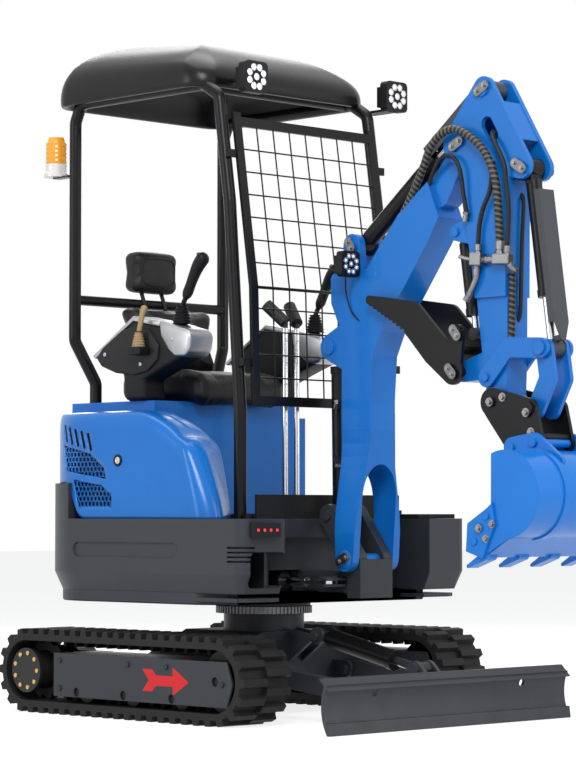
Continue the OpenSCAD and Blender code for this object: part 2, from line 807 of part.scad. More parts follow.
module counterweight() color(grey) {
  difference() {
    skirt_solid(skirt_low, skirt_top);
    // room of the engine
    translate([0, 0, skirt_low - weld]) linear_extrude(skirt_top) {
      intersection() {
        plan2d(skirt_t + skirt_cham);
        translate([-house_tail + weight_t + skirt_cham, -house_y])
          square([house_tail - weight_t - skirt_cham + well_back + weld, house_w]);
      }
      well2d();
    }
    // hollow front corners, closed above
    for (s = [-1, 1]) translate([well_back - weld, s > 0 ? well_y + skirt_t / 2 : -house_y + skirt_t + skirt_cham, skirt_low - weld])
      cube([house_front - well_back - skirt_t - skirt_cham, house_y - well_y - 3 * skirt_t / 2 - skirt_cham,
        skirt_top - skirt_low - skirt_t / 2]);
    // notch over the swing ram
    translate([house_front - 3 * skirt_t, -notch_y, notch_z]) rotate([90, 0, 90]) linear_extrude(4 * skirt_t)
      rbox2d(notch_w, notch_h, notch_r);
    // pressed rib
    translate([0, -house_y, 0]) side(0, 2 * rib_deep) bar2d([rib_span[0], rib_z], [rib_span[1], rib_z], rib_r, rib_r);
    // louvres round the front corner
    for (i = [0 : louvre_n - 1]) translate([0, 0, louvre_z + louvre_pitch * i]) linear_extrude(louvre_h) intersection() {
      difference() { plan2d(-weld); plan2d(louvre_deep); }
      translate([house_front - louvre_l, -house_y - 2 * weld]) square([2 * louvre_l, louvre_l]);
    }
  }
  translate([beam_front - beam_t, -well_y - weld, skirt_top - beam_h])
    cube([beam_t, well_w + 2 * weld, beam_h - gap]);
  translate([0, 0, skirt_top - weld]) linear_extrude(weight_top - skirt_top + weld) difference() {
    intersection() {
      plan2d(0);
      translate([-house_tail, -house_y]) square([house_tail - weight_ahead, house_w]);
    }
    intersection() {
      plan2d(skirt_t + skirt_cham);
      translate([-house_tail + weight_t / 2, -house_y]) square([house_tail, house_w]);
    }
  }
}
module cover_profile2d(in) {
  polygon([[-cover_rear + in, skirt_top + gap], [cover_front - in, skirt_top + gap],
    [cover_step_x - in, cover_step_z - in], [-cover_ridge_x, cover_top - in], [-house_tail, cover_top - in],
    [-house_tail, weight_top + gap], [-cover_rear + in, weight_top + gap]]);
}
module right2d(in) {
  intersection() {
    plan2d(cover_in + in);
    translate([-house_tail, -house_y]) square([house_tail, house_y - well_y - in]);
  }
  translate([-weld, -house_y + cover_in + in])
    square([cover_front - cover_nose_r + weld, house_y - cover_in - well_y - 2 * in]);
  bar2d([cover_front - cover_nose_r, -house_y + cover_in + cover_nose_r],
    [cover_front - cover_nose_r - cover_slope, -well_y - cover_edge_r], cover_nose_r - in, cover_edge_r - in);
}
module right_solid(in) {
  intersection() {
    translate([0, 0, skirt_top]) linear_extrude(cover_top) right2d(in);
    side(0, house_w + 2 * cover_in) cover_profile2d(in);
  }
}
// air slots and grille windows of the right cover, as seen from the right
vent_n = 5;
vent_pitch = 32;
vent_fall = 7;
vent_r = 7;
vent_top = [-426, 922];
vent_lean = [14, -46];
grille_upper_shares = [[0, 1], [0.66, 0.72], [0.95, 0.32], [1, 0], [0.09, 0.24]];
grille_lower_shares = [[0, 1], [0.76, 0.78], [1, 0.38], [1, 0], [0.14, 0]];
grille_upper = [-431, 752];
grille_upper_size = [222, 112];
grille_lower = [-372, 664];
grille_lower_size = [190, 86];
grille_in = 12;
grille_t = 3;
hex_r = 8;
hex_wall = 4;
function in_frame(o, size, share) = o + [size[0] * share[0], size[1] * share[1]];
module grille2d(o, size, shares) { polygon([for (p = shares) in_frame(o, size, p)]); }
module vents2d() {
  for (i = [0 : vent_n - 1]) {
    p = vent_top + [vent_pitch * i, -vent_fall * i];
    bar2d(p, p + vent_lean, vent_r, vent_r);
  }
}
module hexes2d(o, size) {
  step = hex_r * sqrt(3) + hex_wall;
  rise = step * sqrt(3) / 2;
  for (j = [0 : floor(size[1] / rise)], i = [0 : floor(size[0] / step)])
    translate(o + [step * (i + (j % 2) / 2), rise * j]) rotate(30) circle(hex_r, $fn = 6);
}
module right_cover() color(blue) {
  reach = house_y - well_y - 2 * cover_t;
  difference() {
    right_solid(0);
    right_solid(cover_t);
    translate([0, -house_y + reach / 2, 0]) side(0, reach) {
      vents2d();
      grille2d(grille_upper, grille_upper_size, grille_upper_shares);
      grille2d(grille_lower, grille_lower_size, grille_lower_shares);
    }
  }
  for (g = [[grille_upper, grille_upper_size, grille_upper_shares], [grille_lower, grille_lower_size, grille_lower_shares]])
    side(-house_y + cover_in + grille_in, grille_t) difference() {
      grille2d(g[0] - [hex_r, hex_r], g[1] + 2 * [hex_r, hex_r], g[2]);
      intersection() {
        hexes2d(g[0], g[1]);
        grille2d(g[0], g[1], g[2]);
      }
    }
  // lock
  side(-house_y + cover_in - lock_t / 2, lock_t + weld) disc(lock_at, lock_r);
}
lock_at = [-150, 810];
lock_r = 18;
lock_t = 6;
module left2d(in) intersection() {
  plan2d(cover_in + in);
  translate([-house_tail, hood_y + gap + in]) square([house_tail - left_front - in, house_y]);
}
module left_cover() color(blue) {
  difference() {
    translate([0, 0, weight_top + gap]) linear_extrude(cover_top - weight_top - gap) left2d(0);
    translate([0, 0, weight_top]) linear_extrude(cover_top - weight_top - cover_t) left2d(cover_t);
  }
  translate([0, 0, skirt_top + gap]) linear_extrude(weight_top - skirt_top) intersection() {
    difference() { left2d(0); left2d(cover_t); }
    translate([-weight_ahead + gap, 0]) square([weight_ahead, house_y]);
  }
}
hood_slot_n = 6;
hood_slot_w = 240;
hood_slot_h = 8;
hood_slot_pitch = 20;
hood_slot_z = 800;
module engine_hood() color(blue) difference() {
  translate([0, 0, hood_low]) linear_extrude(hood_top - hood_low) intersection() {
    difference() { plan2d(cover_in); plan2d(cover_in + hood_t); }
    translate([-house_tail, -hood_y + hood_gap]) square([house_tail - weight_ahead, 2 * (hood_y - hood_gap)]);
  }
  // air slots
  for (i = [0 : hood_slot_n - 1]) translate([-house_tail, 0, hood_slot_z + hood_slot_pitch * i])
    cube([4 * hood_t + 2 * cover_in, hood_slot_w, hood_slot_h], center = true);
}
module engine() color(black) translate([-engine_back, -engine_w / 2, deck_z + deck_t + gap])
  cube([engine_l, engine_w, engine_h]);
module seat_base() color(blue) {
  translate([0, 0, cover_top + gap]) linear_extrude(seat_z - cover_top - 2 * gap) intersection() {
    plan2d(cover_in);
    translate([-house_tail, -well_y + gap]) square([house_tail - seat_front, well_w - 2 * gap]);
  }
  translate([-seat_front - cover_t, -well_y + gap, floor_z + gap])
    cube([cover_t, well_w - 2 * gap, cover_top - floor_z]);
}
toe_h = 62;
toe_t = 10;
module floor() color(black) {
  difference() {
    union() {
      translate([-seat_front, -well_y + gap, floor_z - floor_t])
        cube([floor_front + seat_front, well_w - 2 * gap, floor_t]);
      translate([floor_front - toe_t, -well_y + gap, floor_z - weld]) cube([toe_t, well_w - 2 * gap, toe_h]);
    }
    // room for the right post
    translate([post_low[0] - tube_r - gap, -well_y, floor_z - 2 * floor_t])
      cube([floor_front, well_y - canopy_y + tube_r + gap, toe_h + 3 * floor_t]);
  }
  translate([-left_front, well_y, floor_z - floor_t + gap])
    cube([left_front + house_front - front_r, house_y - well_y - cover_in, floor_t]);
}

// driver's place
module pad(l, w, t, r) {
  rotate([90, 0, 0]) translate([0, 0, -w / 2]) linear_extrude(w) translate([l / 2, t / 2]) rbox2d(l, t, r);
}
module seat() color(black) {
  translate([-pan_back, 0, seat_z + gap]) pad(pan_l, seat_w, pan_t, back_r);
  translate([-pan_back + back_t, 0, seat_z + pan_t - back_r]) rotate([0, -back_lean, 0])
    translate([-back_t, 0, 0]) pad(back_t, seat_w - back_r, back_h, back_r);
}
module headrest() color(black) {
  translate([-post_back - head_t / 2, 0, head_z]) pad(head_t, head_w, head_h, head_r);
}
console_shares = [[-0.945, 0.77], [-0.515, 1.375], [0.056, 1.07], [0.015, 0.65], [-0.42, 0.30], [-0.40, 0],
  [-0.62, 0], [-0.64, 0.45]];
console_l = 480;
console_h = 200;
module console(s) color(grey) side(s * console_y, console_w)
  polygon([for (p = console_shares) [p[0] * console_l, seat_z + gap + p[1] * console_h]]);
module right_console() console(-1);
module left_console() console(1);
stick_base = [-66, 1250];
stick_knee = [-38, 1330];
stick_top = [43, 1455];
stick_grip_r = 15;
stick_bend = 40;
boot_n = 5;
boot_lip = 4;
boot_step = 8;
// a rubber bellows of rings that grow narrower
module bellows(n, r, step, lip) for (i = [0 : n - 1]) translate([0, 0, i * step]) {
  q = r * (1 - i / (2 * n));
  cylinder(h = step / 2 + joint, r1 = q - lip, r2 = q);
  translate([0, 0, step / 2]) cylinder(h = step / 2, r1 = q, r2 = q - lip);
}
module joysticks() color(black) for (s = [-1, 1]) {
  translate([stick_base[0], s * console_y, stick_base[1]]) bellows(boot_n, boot_r, boot_step, boot_lip);
  rod3([stick_base[0], s * console_y, stick_base[1]], [stick_knee[0], s * console_y, stick_knee[1]], stick_r);
  rod3([stick_knee[0], s * console_y, stick_knee[1]], [stick_top[0], s * console_y, stick_top[1]], stick_grip_r);
  translate([stick_knee[0], s * console_y, stick_knee[1]]) sphere(stick_grip_r + 2 * weld);
  translate([stick_top[0], s * console_y, stick_top[1]]) sphere(grip_r);
}
blade_stick_out = 50;
blade_stick = [[-190, -well_y - blade_stick_out, 1010], [-150, -well_y - blade_stick_out, 1290]];
module blade_lever() color(black) {
  rod3(blade_stick[0], blade_stick[1], stick_r);
  translate(blade_stick[1]) sphere(grip_r);
  translate([blade_stick[0][0], blade_stick[0][1], cover_top + gap]) bellows(boot_n, boot_r, boot_step, boot_lip);
}
lever_x = 125;
lever_y = 26;
lever_top = 1255;
lever_kick = 60;
lever_grip_y = 52;
module travel_levers() color(chrome) for (s = [-1, 1]) {
  rod3([lever_x, s * lever_y, floor_z + gap], [lever_x, s * lever_y, lever_top], stick_r);
  rod3([lever_x, s * lever_y, lever_top], [lever_x - lever_kick, s * lever_grip_y, lever_top + lever_kick], grip_r);
}
pedal_l = 120;
pedal_w = 60;
pedal_t = 24;
pedal_y = 78;
pedal_tread = 4;
pedal_n = 6;
module pedals() color(black) for (s = [-1, 1]) translate([lever_x, s * pedal_y - pedal_w / 2, floor_z + gap]) difference() {
  cube([pedal_l, pedal_w, pedal_t]);
  for (i = [1 : pedal_n]) translate([pedal_l * i / (pedal_n + 1), -weld, pedal_t - pedal_tread])
    cube([pedal_tread, pedal_w + 2 * weld, 2 * pedal_tread]);
}

// canopy
// side view of a front post, from its bend at the waist to the rail
post_low = [242, 961];
post_mid = [194, 1618];
post_high = [144, 1958];
post_rail = [76, rail_z];
post_foot_in = 66;
post_foot_ahead = 30;
post_kink = [1213, 1074];
post_shoulder = 60;
post_bend_r = 40;
crossbar_z = 1350;
front_bar_x = 44;
bar_r = 17;
handle_r = 9;
handle_bend = 24;
handle_out = 74;
handle_z = [1330, 1580];
handle_pts = [[tube_r + 2 * joint, handle_z[0]], [handle_out, handle_z[0]], [handle_out, handle_z[1]],
  [tube_r + 2 * joint, handle_z[1]]];
post_pad = 34;
post_pad_l = 20;
post_pad_t = 12;
module canopy_frame() color(black) {
  for (s = [-1, 1]) {
    tube([[post_low[0], s * canopy_y, s > 0 ? floor_z + 2 * gap : skirt_top + gap], [post_low[0], s * canopy_y, post_low[1]],
      [post_mid[0], s * canopy_y, post_mid[1]], [post_high[0], s * canopy_y, post_high[1]],
      [post_rail[0], s * canopy_y, rail_z], [-post_back + post_foot_ahead, s * canopy_y, rail_z],
      [-post_back, s * canopy_y, rail_z - post_shoulder], [-post_back, s * canopy_y, post_kink[0]],
      [-post_back + post_foot_ahead, s * (canopy_y - post_foot_in), post_kink[1]],
      [-post_back + post_foot_ahead, s * (canopy_y - post_foot_in), seat_z + gap]], tube_r, post_bend_r);
  }
  // feet of the front posts
  for (s = [-1, 1]) translate([post_low[0] + tube_r + joint, s * canopy_y - post_pad / 2, s > 0 ? floor_z + 2 * gap : skirt_top + gap])
    cube([post_pad_l, post_pad, post_pad_t]);
  difference() {
    rod3([-post_back, -canopy_y, crossbar_z], [-post_back, canopy_y, crossbar_z], bar_r);
    for (s = [-1, 1]) translate([-post_back, s * canopy_y, crossbar_z]) cylinder(h = 4 * tube_r, r = tube_r + joint, center = true);
  }
  difference() {
    rod3([front_bar_x, -canopy_y, rail_z], [front_bar_x, canopy_y, rail_z], bar_r);
    for (s = [-1, 1]) translate([front_bar_x, s * canopy_y, rail_z]) rotate([0, 90, 0])
      cylinder(h = 4 * tube_r, r = tube_r + joint, center = true);
  }
  // grab handle on the left front post
  tube([for (p = handle_pts) [post_x(p[1]), canopy_y + p[0], p[1]]], handle_r, handle_bend);
}
module roof2d(in) {
  l = roof_front + roof_tail;
  translate([(roof_front - roof_tail) / 2, 0]) rbox2d(l - 2 * in, roof_w - 2 * in, roof_r - in);
}
module roof_solid(in) intersection() {
  translate([0, 0, roof_rim_z - weld]) linear_extrude(roof_top) roof2d(in);
  side(0, 2 * roof_w) translate([0, -in]) polygon([for (p = roof_side_shares)
    [-roof_tail + (roof_front + roof_tail) * p[0], roof_rim_z + roof_h * p[1]]]);
  translate([-2 * roof_tail, 0, 0]) rotate([90, 0, 90]) linear_extrude(4 * roof_tail) translate([0, -in])
    polygon(concat([for (p = roof_end_shares) [roof_y * p[0], roof_rim_z + roof_h * p[1]]],
      [for (i = [len(roof_end_shares) - 1 : -1 : 0]) [-roof_y * roof_end_shares[i][0], roof_rim_z + roof_h * roof_end_shares[i][1]]]));
}
module roof() color(black) difference() {
  roof_solid(0);
  translate([0, 0, -weld]) roof_solid(roof_t);
  // notches over the front posts
  for (s = [-1, 1]) translate([post_rail[0], s * canopy_y - tube_r - weld, roof_rim_z - 2 * weld])
    cube([post_high[0], 2 * tube_r + 2 * weld, rail_z + tube_r + 2 * weld - roof_rim_z]);
}
mesh_pts = [[180, 1902], [262, 1347], [273, 977]];
module mesh_strip2d() {
  polygon(concat([for (p = mesh_pts) p], [for (i = [2 : -1 : 0]) mesh_pts[i] + [mesh_bar_t, 0]]));
}
function mesh_at(z) = z > mesh_pts[1][1]
  ? mesh_pts[0] + (mesh_pts[1] - mesh_pts[0]) * (mesh_pts[0][1] - z) / (mesh_pts[0][1] - mesh_pts[1][1])
  : mesh_pts[1] + (mesh_pts[2] - mesh_pts[1]) * (mesh_pts[1][1] - z) / (mesh_pts[1][1] - mesh_pts[2][1]);
clip_up = 150;
clip_w = 50;
function post_x(z) = z > post_mid[1]
  ? post_mid[0] + (post_high[0] - post_mid[0]) * (z - post_mid[1]) / (post_high[1] - post_mid[1])
  : post_low[0] + (post_mid[0] - post_low[0]) * (z - post_low[1]) / (post_mid[1] - post_low[1]);
module mesh_guard() color(black) {
  for (s = [-1, 1]) side(s * (mesh_y - mesh_bar_w / 2), mesh_bar_w) mesh_strip2d();
  for (p = [mesh_pts[0] + [0, -mesh_bar_w], mesh_pts[2] + [0, mesh_bar_w / 2]])
    translate([mesh_at(p[1])[0] - weld, -mesh_y + weld, p[1] - mesh_bar_w / 2])
      cube([mesh_bar_t + 2 * weld, 2 * mesh_y - 2 * weld, mesh_bar_w]);
  // clips to the front posts
  for (s = [-1, 1], p = [post_low, post_mid]) {
    z = p[1] + clip_up;
    x = post_x(z) + tube_r + 3 * weld;
    translate([x, s * (mesh_y - mesh_bar_w / 2 + clip_w / 2) - clip_w / 2, z - clip_w / 4])
      cube([mesh_at(z)[0] + mesh_bar_t / 2 - x, clip_w, clip_w / 2]);
  }
  n = floor((mesh_y - mesh_bar_w) / mesh_pitch);
  z0 = mesh_pts[2][1] + mesh_bar_w / 2;
  m = floor((mesh_pts[0][1] - z0) / mesh_pitch);
  for (i = [-n : n]) {
    a = mesh_at(mesh_pts[0][1] - mesh_bar_w) + [mesh_bar_t * wire_back_share, 0];
    b = mesh_at(z0) + [mesh_bar_t * wire_back_share, 0];
    c = mesh_pts[1] + [mesh_bar_t * wire_back_share, 0];
    y = i * mesh_pitch;
    rod3([a[0], y, a[1]], [c[0], y, c[1] + wire_r], wire_r);
    rod3([c[0], y, c[1] - wire_r], [b[0], y, b[1]], wire_r);
  }
  rod3([mesh_pts[1][0] + mesh_bar_t / 2, -mesh_y + mesh_bar_w / 2, mesh_pts[1][1]],
    [mesh_pts[1][0] + mesh_bar_t / 2, mesh_y - mesh_bar_w / 2, mesh_pts[1][1]], 2 * wire_r);
  for (j = [1 : m - 1]) if (abs(z0 + j * mesh_pitch - mesh_pts[1][1]) > 4 * wire_r) {
    p = mesh_at(z0 + j * mesh_pitch) + [mesh_bar_t * wire_front_share, 0];
    rod3([p[0], -mesh_y + mesh_bar_w / 2, p[1]], [p[0], mesh_y - mesh_bar_w / 2, p[1]], wire_r);
  }
}
lamp_right = [195, -250, 2015];
lamp_left = [180, 410, 2024];
lamp_bar = 30;
lamp_bar_t = 8;
lamp_r = 16;
lamp_head = 30;
led_n = 8;
led_r = 11;
led_out = 31;
led_deep = 6;
fin_n = 6;
fin_t = 5;
// a work lamp that faces forward: lens cups in front, cooling fins behind
module lamp() {
  difference() {
    translate([lamp_t / 2 - lamp_head, 0, 0]) rotate([90, 0, 90]) linear_extrude(lamp_head) rbox2d(lamp_s, lamp_s, lamp_r);
    translate([lamp_t / 2 - led_deep, 0, 0]) rotate([90, 0, 90]) linear_extrude(2 * led_deep) {
      circle(led_r);
      for (i = [0 : led_n - 1]) rotate(360 * (i + 0.5) / led_n) translate([led_out, 0]) circle(led_r);
    }
  }
  for (i = [0 : fin_n - 1])
    translate([-lamp_t / 2, -lamp_s / 2 + lamp_r + (lamp_s - 2 * lamp_r - fin_t) * i / (fin_n - 1), -lamp_s / 2 + lamp_r])
      cube([lamp_t - lamp_head + weld, fin_t, lamp_s - 2 * lamp_r]);
}
module canopy_lamps() color(black) {
  for (p = [lamp_right, lamp_left]) translate(p) lamp();
  translate([roof_front + gap, lamp_right[1] - lamp_bar / 2, lamp_right[2] - lamp_bar_t / 2])
    cube([lamp_right[0] + lamp_t / 2 - lamp_head - roof_front, lamp_bar, lamp_bar_t]);
  translate([post_rail[0] + lamp_bar, canopy_y + tube_r + gap, lamp_left[2] - lamp_s / 2 - lamp_bar_t / 2])
    cube([lamp_left[0] + lamp_t / 2 - post_rail[0] - lamp_bar, lamp_left[1] - canopy_y - tube_r, lamp_bar_t]);
}
beacon_x = -656;
beacon_z = 1766;
beacon_base_h = 44;
beacon_foot_h = 12;
beacon_in = 5;
beacon_cap_h = 14;
beacon_rib_n = 5;
beacon_rib = 1.6;
module beacon() color(amber) {
  lens = beacon_h - beacon_base_h;
  translate([beacon_x, -canopy_y, beacon_z]) {
    rotate_extrude() polygon(concat([[0, 0], [beacon_r, 0], [beacon_r, beacon_foot_h],
      [beacon_r - beacon_in, beacon_foot_h + beacon_in], [beacon_r - beacon_in, beacon_base_h]],
      [for (i = [0 : beacon_rib_n - 1], t = [0, 1]) [beacon_r - beacon_in - (1 - t) * beacon_rib,
        beacon_base_h + lens * (i + t / 2) / beacon_rib_n]],
      [[beacon_r - 2 * beacon_in, beacon_h], [beacon_r - 3 * beacon_in, beacon_h + beacon_cap_h],
        [beacon_in, beacon_h + beacon_cap_h + beacon_in], [0, beacon_h + beacon_cap_h + beacon_in]]));
  }
  translate([beacon_x, -canopy_y - lamp_bar / 2, beacon_z - lamp_bar_t + weld])
    cube([-post_back - tube_r - gap - beacon_x, lamp_bar, lamp_bar_t]);
}
marker_in = 37;
marker_drop = 56;
marker_t = 20;
marker_w = 112;
marker_h = 44;
module marker_lamp() color(red) translate([house_front + gap, -house_y + marker_in, skirt_top - marker_drop])
  cube([marker_t, marker_w, marker_h]);

// swing post
module swing_post() color(grey) difference() {
  union() {
    translate([swing_x, 0, swing_low_z + lug_t + gap])
      cylinder(h = swing_high_z - swing_low_z - lug_t - 2 * gap, r = lug_r);
    translate([swing_x, -lug_r, swing_low_z + lug_t + gap])
      cube([foot_ahead + ear_r, 2 * lug_r, swing_high_z - swing_low_z - lug_t - 2 * gap]);
    translate([swing_x + lug_r + 2 * weld, -post_out, swing_low_z - lug_t])
      cube([foot_ahead + ear_r - lug_r - 2 * weld, 2 * post_out, foot_z - swing_low_z + lug_t]);
    pair(post_in, post_out - post_in) {
      bar2d(foot, boom_base, post_ear_r, post_ear_r);
      polygon([foot, boom_base, foot + [ear_r, 0]]);
    }
    pin_y(boom_base, pin_r, post_out + head_t_pin);
    // arm for the swing ram
    for (t = [-1, 1]) translate([0, 0, swing_z - swing_arm_t / 2 + t * (swing_tongue_t / 2 + swing_arm_t / 2 + weld)])
      linear_extrude(swing_arm_t) bar2d([swing_x, 0], swing_eye, lug_r, swing_eye_r);
  }
  pin_y(foot, pin_r + play, boom_w);
  translate([swing_x, 0, 0]) cylinder(h = foot_z, r = swing_pin_r + play);
}
swing_len = norm(swing_eye - swing_base);
module lay(p, q, z) {
  translate([p[0], p[1], z]) rotate([0, 0, atan2(q[1] - p[1], q[0] - p[0])]) rotate([90, 0, 0]) children();
}
module swing_barrel() color(black) lay(swing_base, swing_eye, swing_z)
  barrel(swing_tube_l, swing_tube_r, swing_bore_r, swing_rod_r, swing_eye_r, swing_cyl_w, swing_pin_r);
module swing_rod() color(chrome) lay(swing_base, swing_eye, swing_z)
{
  translate([swing_back, 0, 0]) along(swing_len - swing_back - swing_tongue, swing_rod_r);
  translate([swing_back, 0, 0]) along(piston_l, swing_bore_r - play);
  translate([swing_len - swing_tongue - weld, -swing_tongue_t / 2, -swing_rod_r])
    cube([swing_tongue, swing_tongue_t, 2 * swing_rod_r]);
  translate([swing_len, 0, 0]) pin_y([0, 0], swing_eye_r - 2 * weld, swing_tongue_t / 2);
}

// boom
function boom_pt(s) = foot + [boom_run * s[0], boom_rise * s[1]];
module boom_box2d() {
  polygon(concat([for (s = boom_back_shares) boom_pt(s)], [for (s = boom_top_shares) boom_pt(s)],
    [for (s = boom_low_shares) boom_pt(s)]));
}
module boom() color(blue) difference() {
  union() {
    side(0, boom_w) boom_box2d();
    side(0, 2 * tip_half_w) {
      bar2d(boom_pt(tip_root_share), arm_pin, tip_root_r, tip_r);
    }
    pair(fork_in, fork_t) {
      bar2d(foot, boom_pt(fork_root_share), fork_r, fork_r);
      polygon([for (p = concat(fork_foot_shares, fork_shares)) boom_pt(p)]);
    }
    side(0, 2 * (fork_in + fork_t)) polygon([for (p = concat(fork_web_shares, fork_shares)) boom_pt(p)]);
    pin_y(foot, pin_r, fork_in + fork_t + head_t_pin);
    // ears of the boom ram
    pair(ear_in, boom_y - ear_in) {
      bar2d(boom_eye, boom_pt(eye_root_share), ear_r, 2 * ear_r);
    }
    pair(boom_y, head_t_pin) disc(boom_eye, pin_r + head_extra);
    // ears of the arm ram
    pair(ear_in, boom_y - ear_in) bar2d(arm_base, boom_pt(arm_root_share), ear_r - ear_cut, ear_r);
    pin_y(arm_base, pin_r, boom_y + head_t_pin);
  }
  pin_y(arm_pin, pin_r + play, boom_w);
}
boom_lamp_share = [0.016, 0.73];
boom_lamp_scale = 0.8;
module boom_lamp() color(black) {
  p = boom_pt(boom_lamp_share);
  y = boom_y + gap + lamp_bar_t;
  translate([p[0], -y - boom_lamp_scale * lamp_s / 2, p[1]]) scale(boom_lamp_scale) lamp();
  translate([p[0] - lamp_bar / 2, -y - lamp_bar, p[1] - lamp_bar / 2]) cube([lamp_bar, lamp_bar + lamp_bar_t, lamp_bar]);
}
boom_len = norm(boom_eye - boom_base);
module boom_barrel() color(black) aim(boom_base, boom_eye)
  barrel(boom_tube_l, boom_tube_r, boom_bore_r, boom_rod_r, eye_r, cyl_eye_w, pin_r);
module boom_rod() color(chrome) aim(boom_base, boom_eye)
  ram_rod(boom_len, boom_len - boom_rod_in, boom_rod_r, boom_bore_r, eye_r, cyl_eye_w);

// arm
module arm_outline2d() {
  bar2d(arm_pin, arm_eye, arm_pivot_r, arm_eye_r);
  bar2d(arm_pin, bucket_base, arm_pivot_r, arm_eye_r);
  bar2d(arm_eye, bucket_base, arm_eye_r, arm_eye_r);
}
module arm_box2d() {
  polygon(concat([for (s = arm_front_shares) on_arm(s)], [for (s = arm_rear_shares) on_arm(s)]));
}
module arm() color(blue) difference() {
  union() {
    pair(arm_y - cheek_t, cheek_t) { arm_outline2d(); polygon([arm_pin, arm_eye, bucket_base]); }
    intersection() {
      side(0, arm_w) arm_box2d();
      translate([0, -arm_w, on_arm([0, arm_end_share])[1]])
        cube([2 * arm_pin[0], 2 * arm_w, on_arm([0, arm_neck_share])[1] - on_arm([0, arm_end_share])[1]]);
    }
    pair(arm_y - cheek_t, cheek_t) intersection() {
      arm_box2d();
      translate([0, on_arm([0, arm_neck_share])[1] - weld]) square([2 * arm_pin[0], arm_drop]);
    }
    side(0, 2 * arm_end_y) {
      intersection() {
        arm_box2d();
        translate([0, end_pin[1]]) square([2 * arm_pin[0], on_arm([0, arm_end_share])[1] - end_pin[1] + weld]);
      }
      disc(end_pin, end_r);
    }
    // front plate of the head
    side(0, arm_w - cheek_t) polygon([for (p = [[head_plate_shares[0], 1], [head_plate_shares[1], 1], [head_plate_shares[1], 0], [head_plate_shares[0], 0]])
      arm_eye + head_u * (norm(bucket_base - arm_eye) * p[0]) + head_n * (arm_eye_r - 2 * weld - head_plate_t * (1 - p[1]))]);
    pin_y(arm_pin, pin_r, arm_y + head_t_pin);
    pin_y(bucket_base, pin_r, arm_y + head_t_pin);
    pair(arm_y, head_t_pin) disc(arm_eye, pin_r + head_extra);
    // bracket of the thumb
    side(0, 2 * thumb_bracket_y) bar2d(thumb_pin, on_arm(thumb_root_share), thumb_boss_r, thumb_root_r);
    side(0, 2 * thumb_bracket_y) bar2d(thumb_base, on_arm(thumb_seat_share), thumb_seat_r, thumb_root_r);
    pin_y(thumb_base, small_pin_r, thumb_bracket_y + head_t_pin);
  }
  // oval window of the head
  side(0, 2 * arm_w) bar2d(head_hole - head_u * head_hole_r, head_hole + head_u * head_hole_r, head_hole_r, head_hole_r);
  pin_y(end_pin, pin_r + play, arm_w);
  pin_y(lever_pin, small_pin_r + play, arm_w);
  pin_y(thumb_pin, small_pin_r + play, arm_w);
  side(0, 2 * thumb_tube_r + 6 * weld) bar2d(thumb_base, thumb_base - [0, 4 * ear_r], ear_r, ear_r);
}
head_u = unit(bucket_base - arm_eye);
head_n = [-head_u[1], head_u[0]];
head_hole = on_arm(head_hole_share);
arm_len = norm(arm_eye - arm_base);
module arm_barrel() color(black) aim(arm_base, arm_eye)
  barrel(arm_tube_l, arm_tube_r, arm_bore_r, arm_rod_r, eye_r, cyl_eye_w, pin_r);
module arm_rod() aim(arm_base, arm_eye) {
  color(chrome) ram_rod(arm_len, arm_len - arm_rod_in, arm_rod_r, arm_bore_r, eye_r, cyl_eye_w);
  color(grey) guard(arm_len, arm_guard_reach, arm_guard_start, arm_guard_half, arm_guard_top, arm_guard_drop, arm_rod_r);
}
bucket_len = norm(rod_pin - bucket_base);
module bucket_barrel() color(black) aim(bucket_base, rod_pin)
  barrel(bucket_tube_l, bucket_tube_r, bucket_bore_r, bucket_rod_r, eye_r, cyl_eye_w, pin_r);
module bucket_rod() aim(bucket_base, rod_pin) {
  color(chrome) ram_rod(bucket_len, bucket_len - bucket_rod_in, bucket_rod_r, bucket_bore_r, eye_r, cyl_eye_w);
  color(grey) guard(bucket_len, bucket_guard_reach, bucket_guard_start, bucket_guard_half, bucket_guard_top,
    bucket_guard_drop, bucket_rod_r);
}
module lever() color(blue) difference() {
  union() {
    mid = (lever_pin + rod_pin) / 2 + [-lever_rise / 2, lever_rise];
    pair(lever_in, lever_t) { bar2d(lever_pin, mid, lever_r, lever_r); bar2d(mid, rod_pin, lever_r, lever_r); }
    pin_y(lever_pin, small_pin_r, lever_in + lever_t + head_t_pin);
  }
  pin_y(rod_pin, small_pin_r + play, arm_w);
}
module link() color(blue) {
  mid = (rod_pin + hitch_pin) / 2 + [link_bulge, 0];
  pair(link_in, link_t) { bar2d(rod_pin, mid, link_r, link_r); bar2d(mid, hitch_pin, link_r, link_r); }
  pair(link_in, lever_in - link_in + lever_t + head_t_pin) disc(rod_pin, small_pin_r);
  pair(lever_in + lever_t + gap, head_t_pin) disc(rod_pin, small_pin_r + head_extra);
}

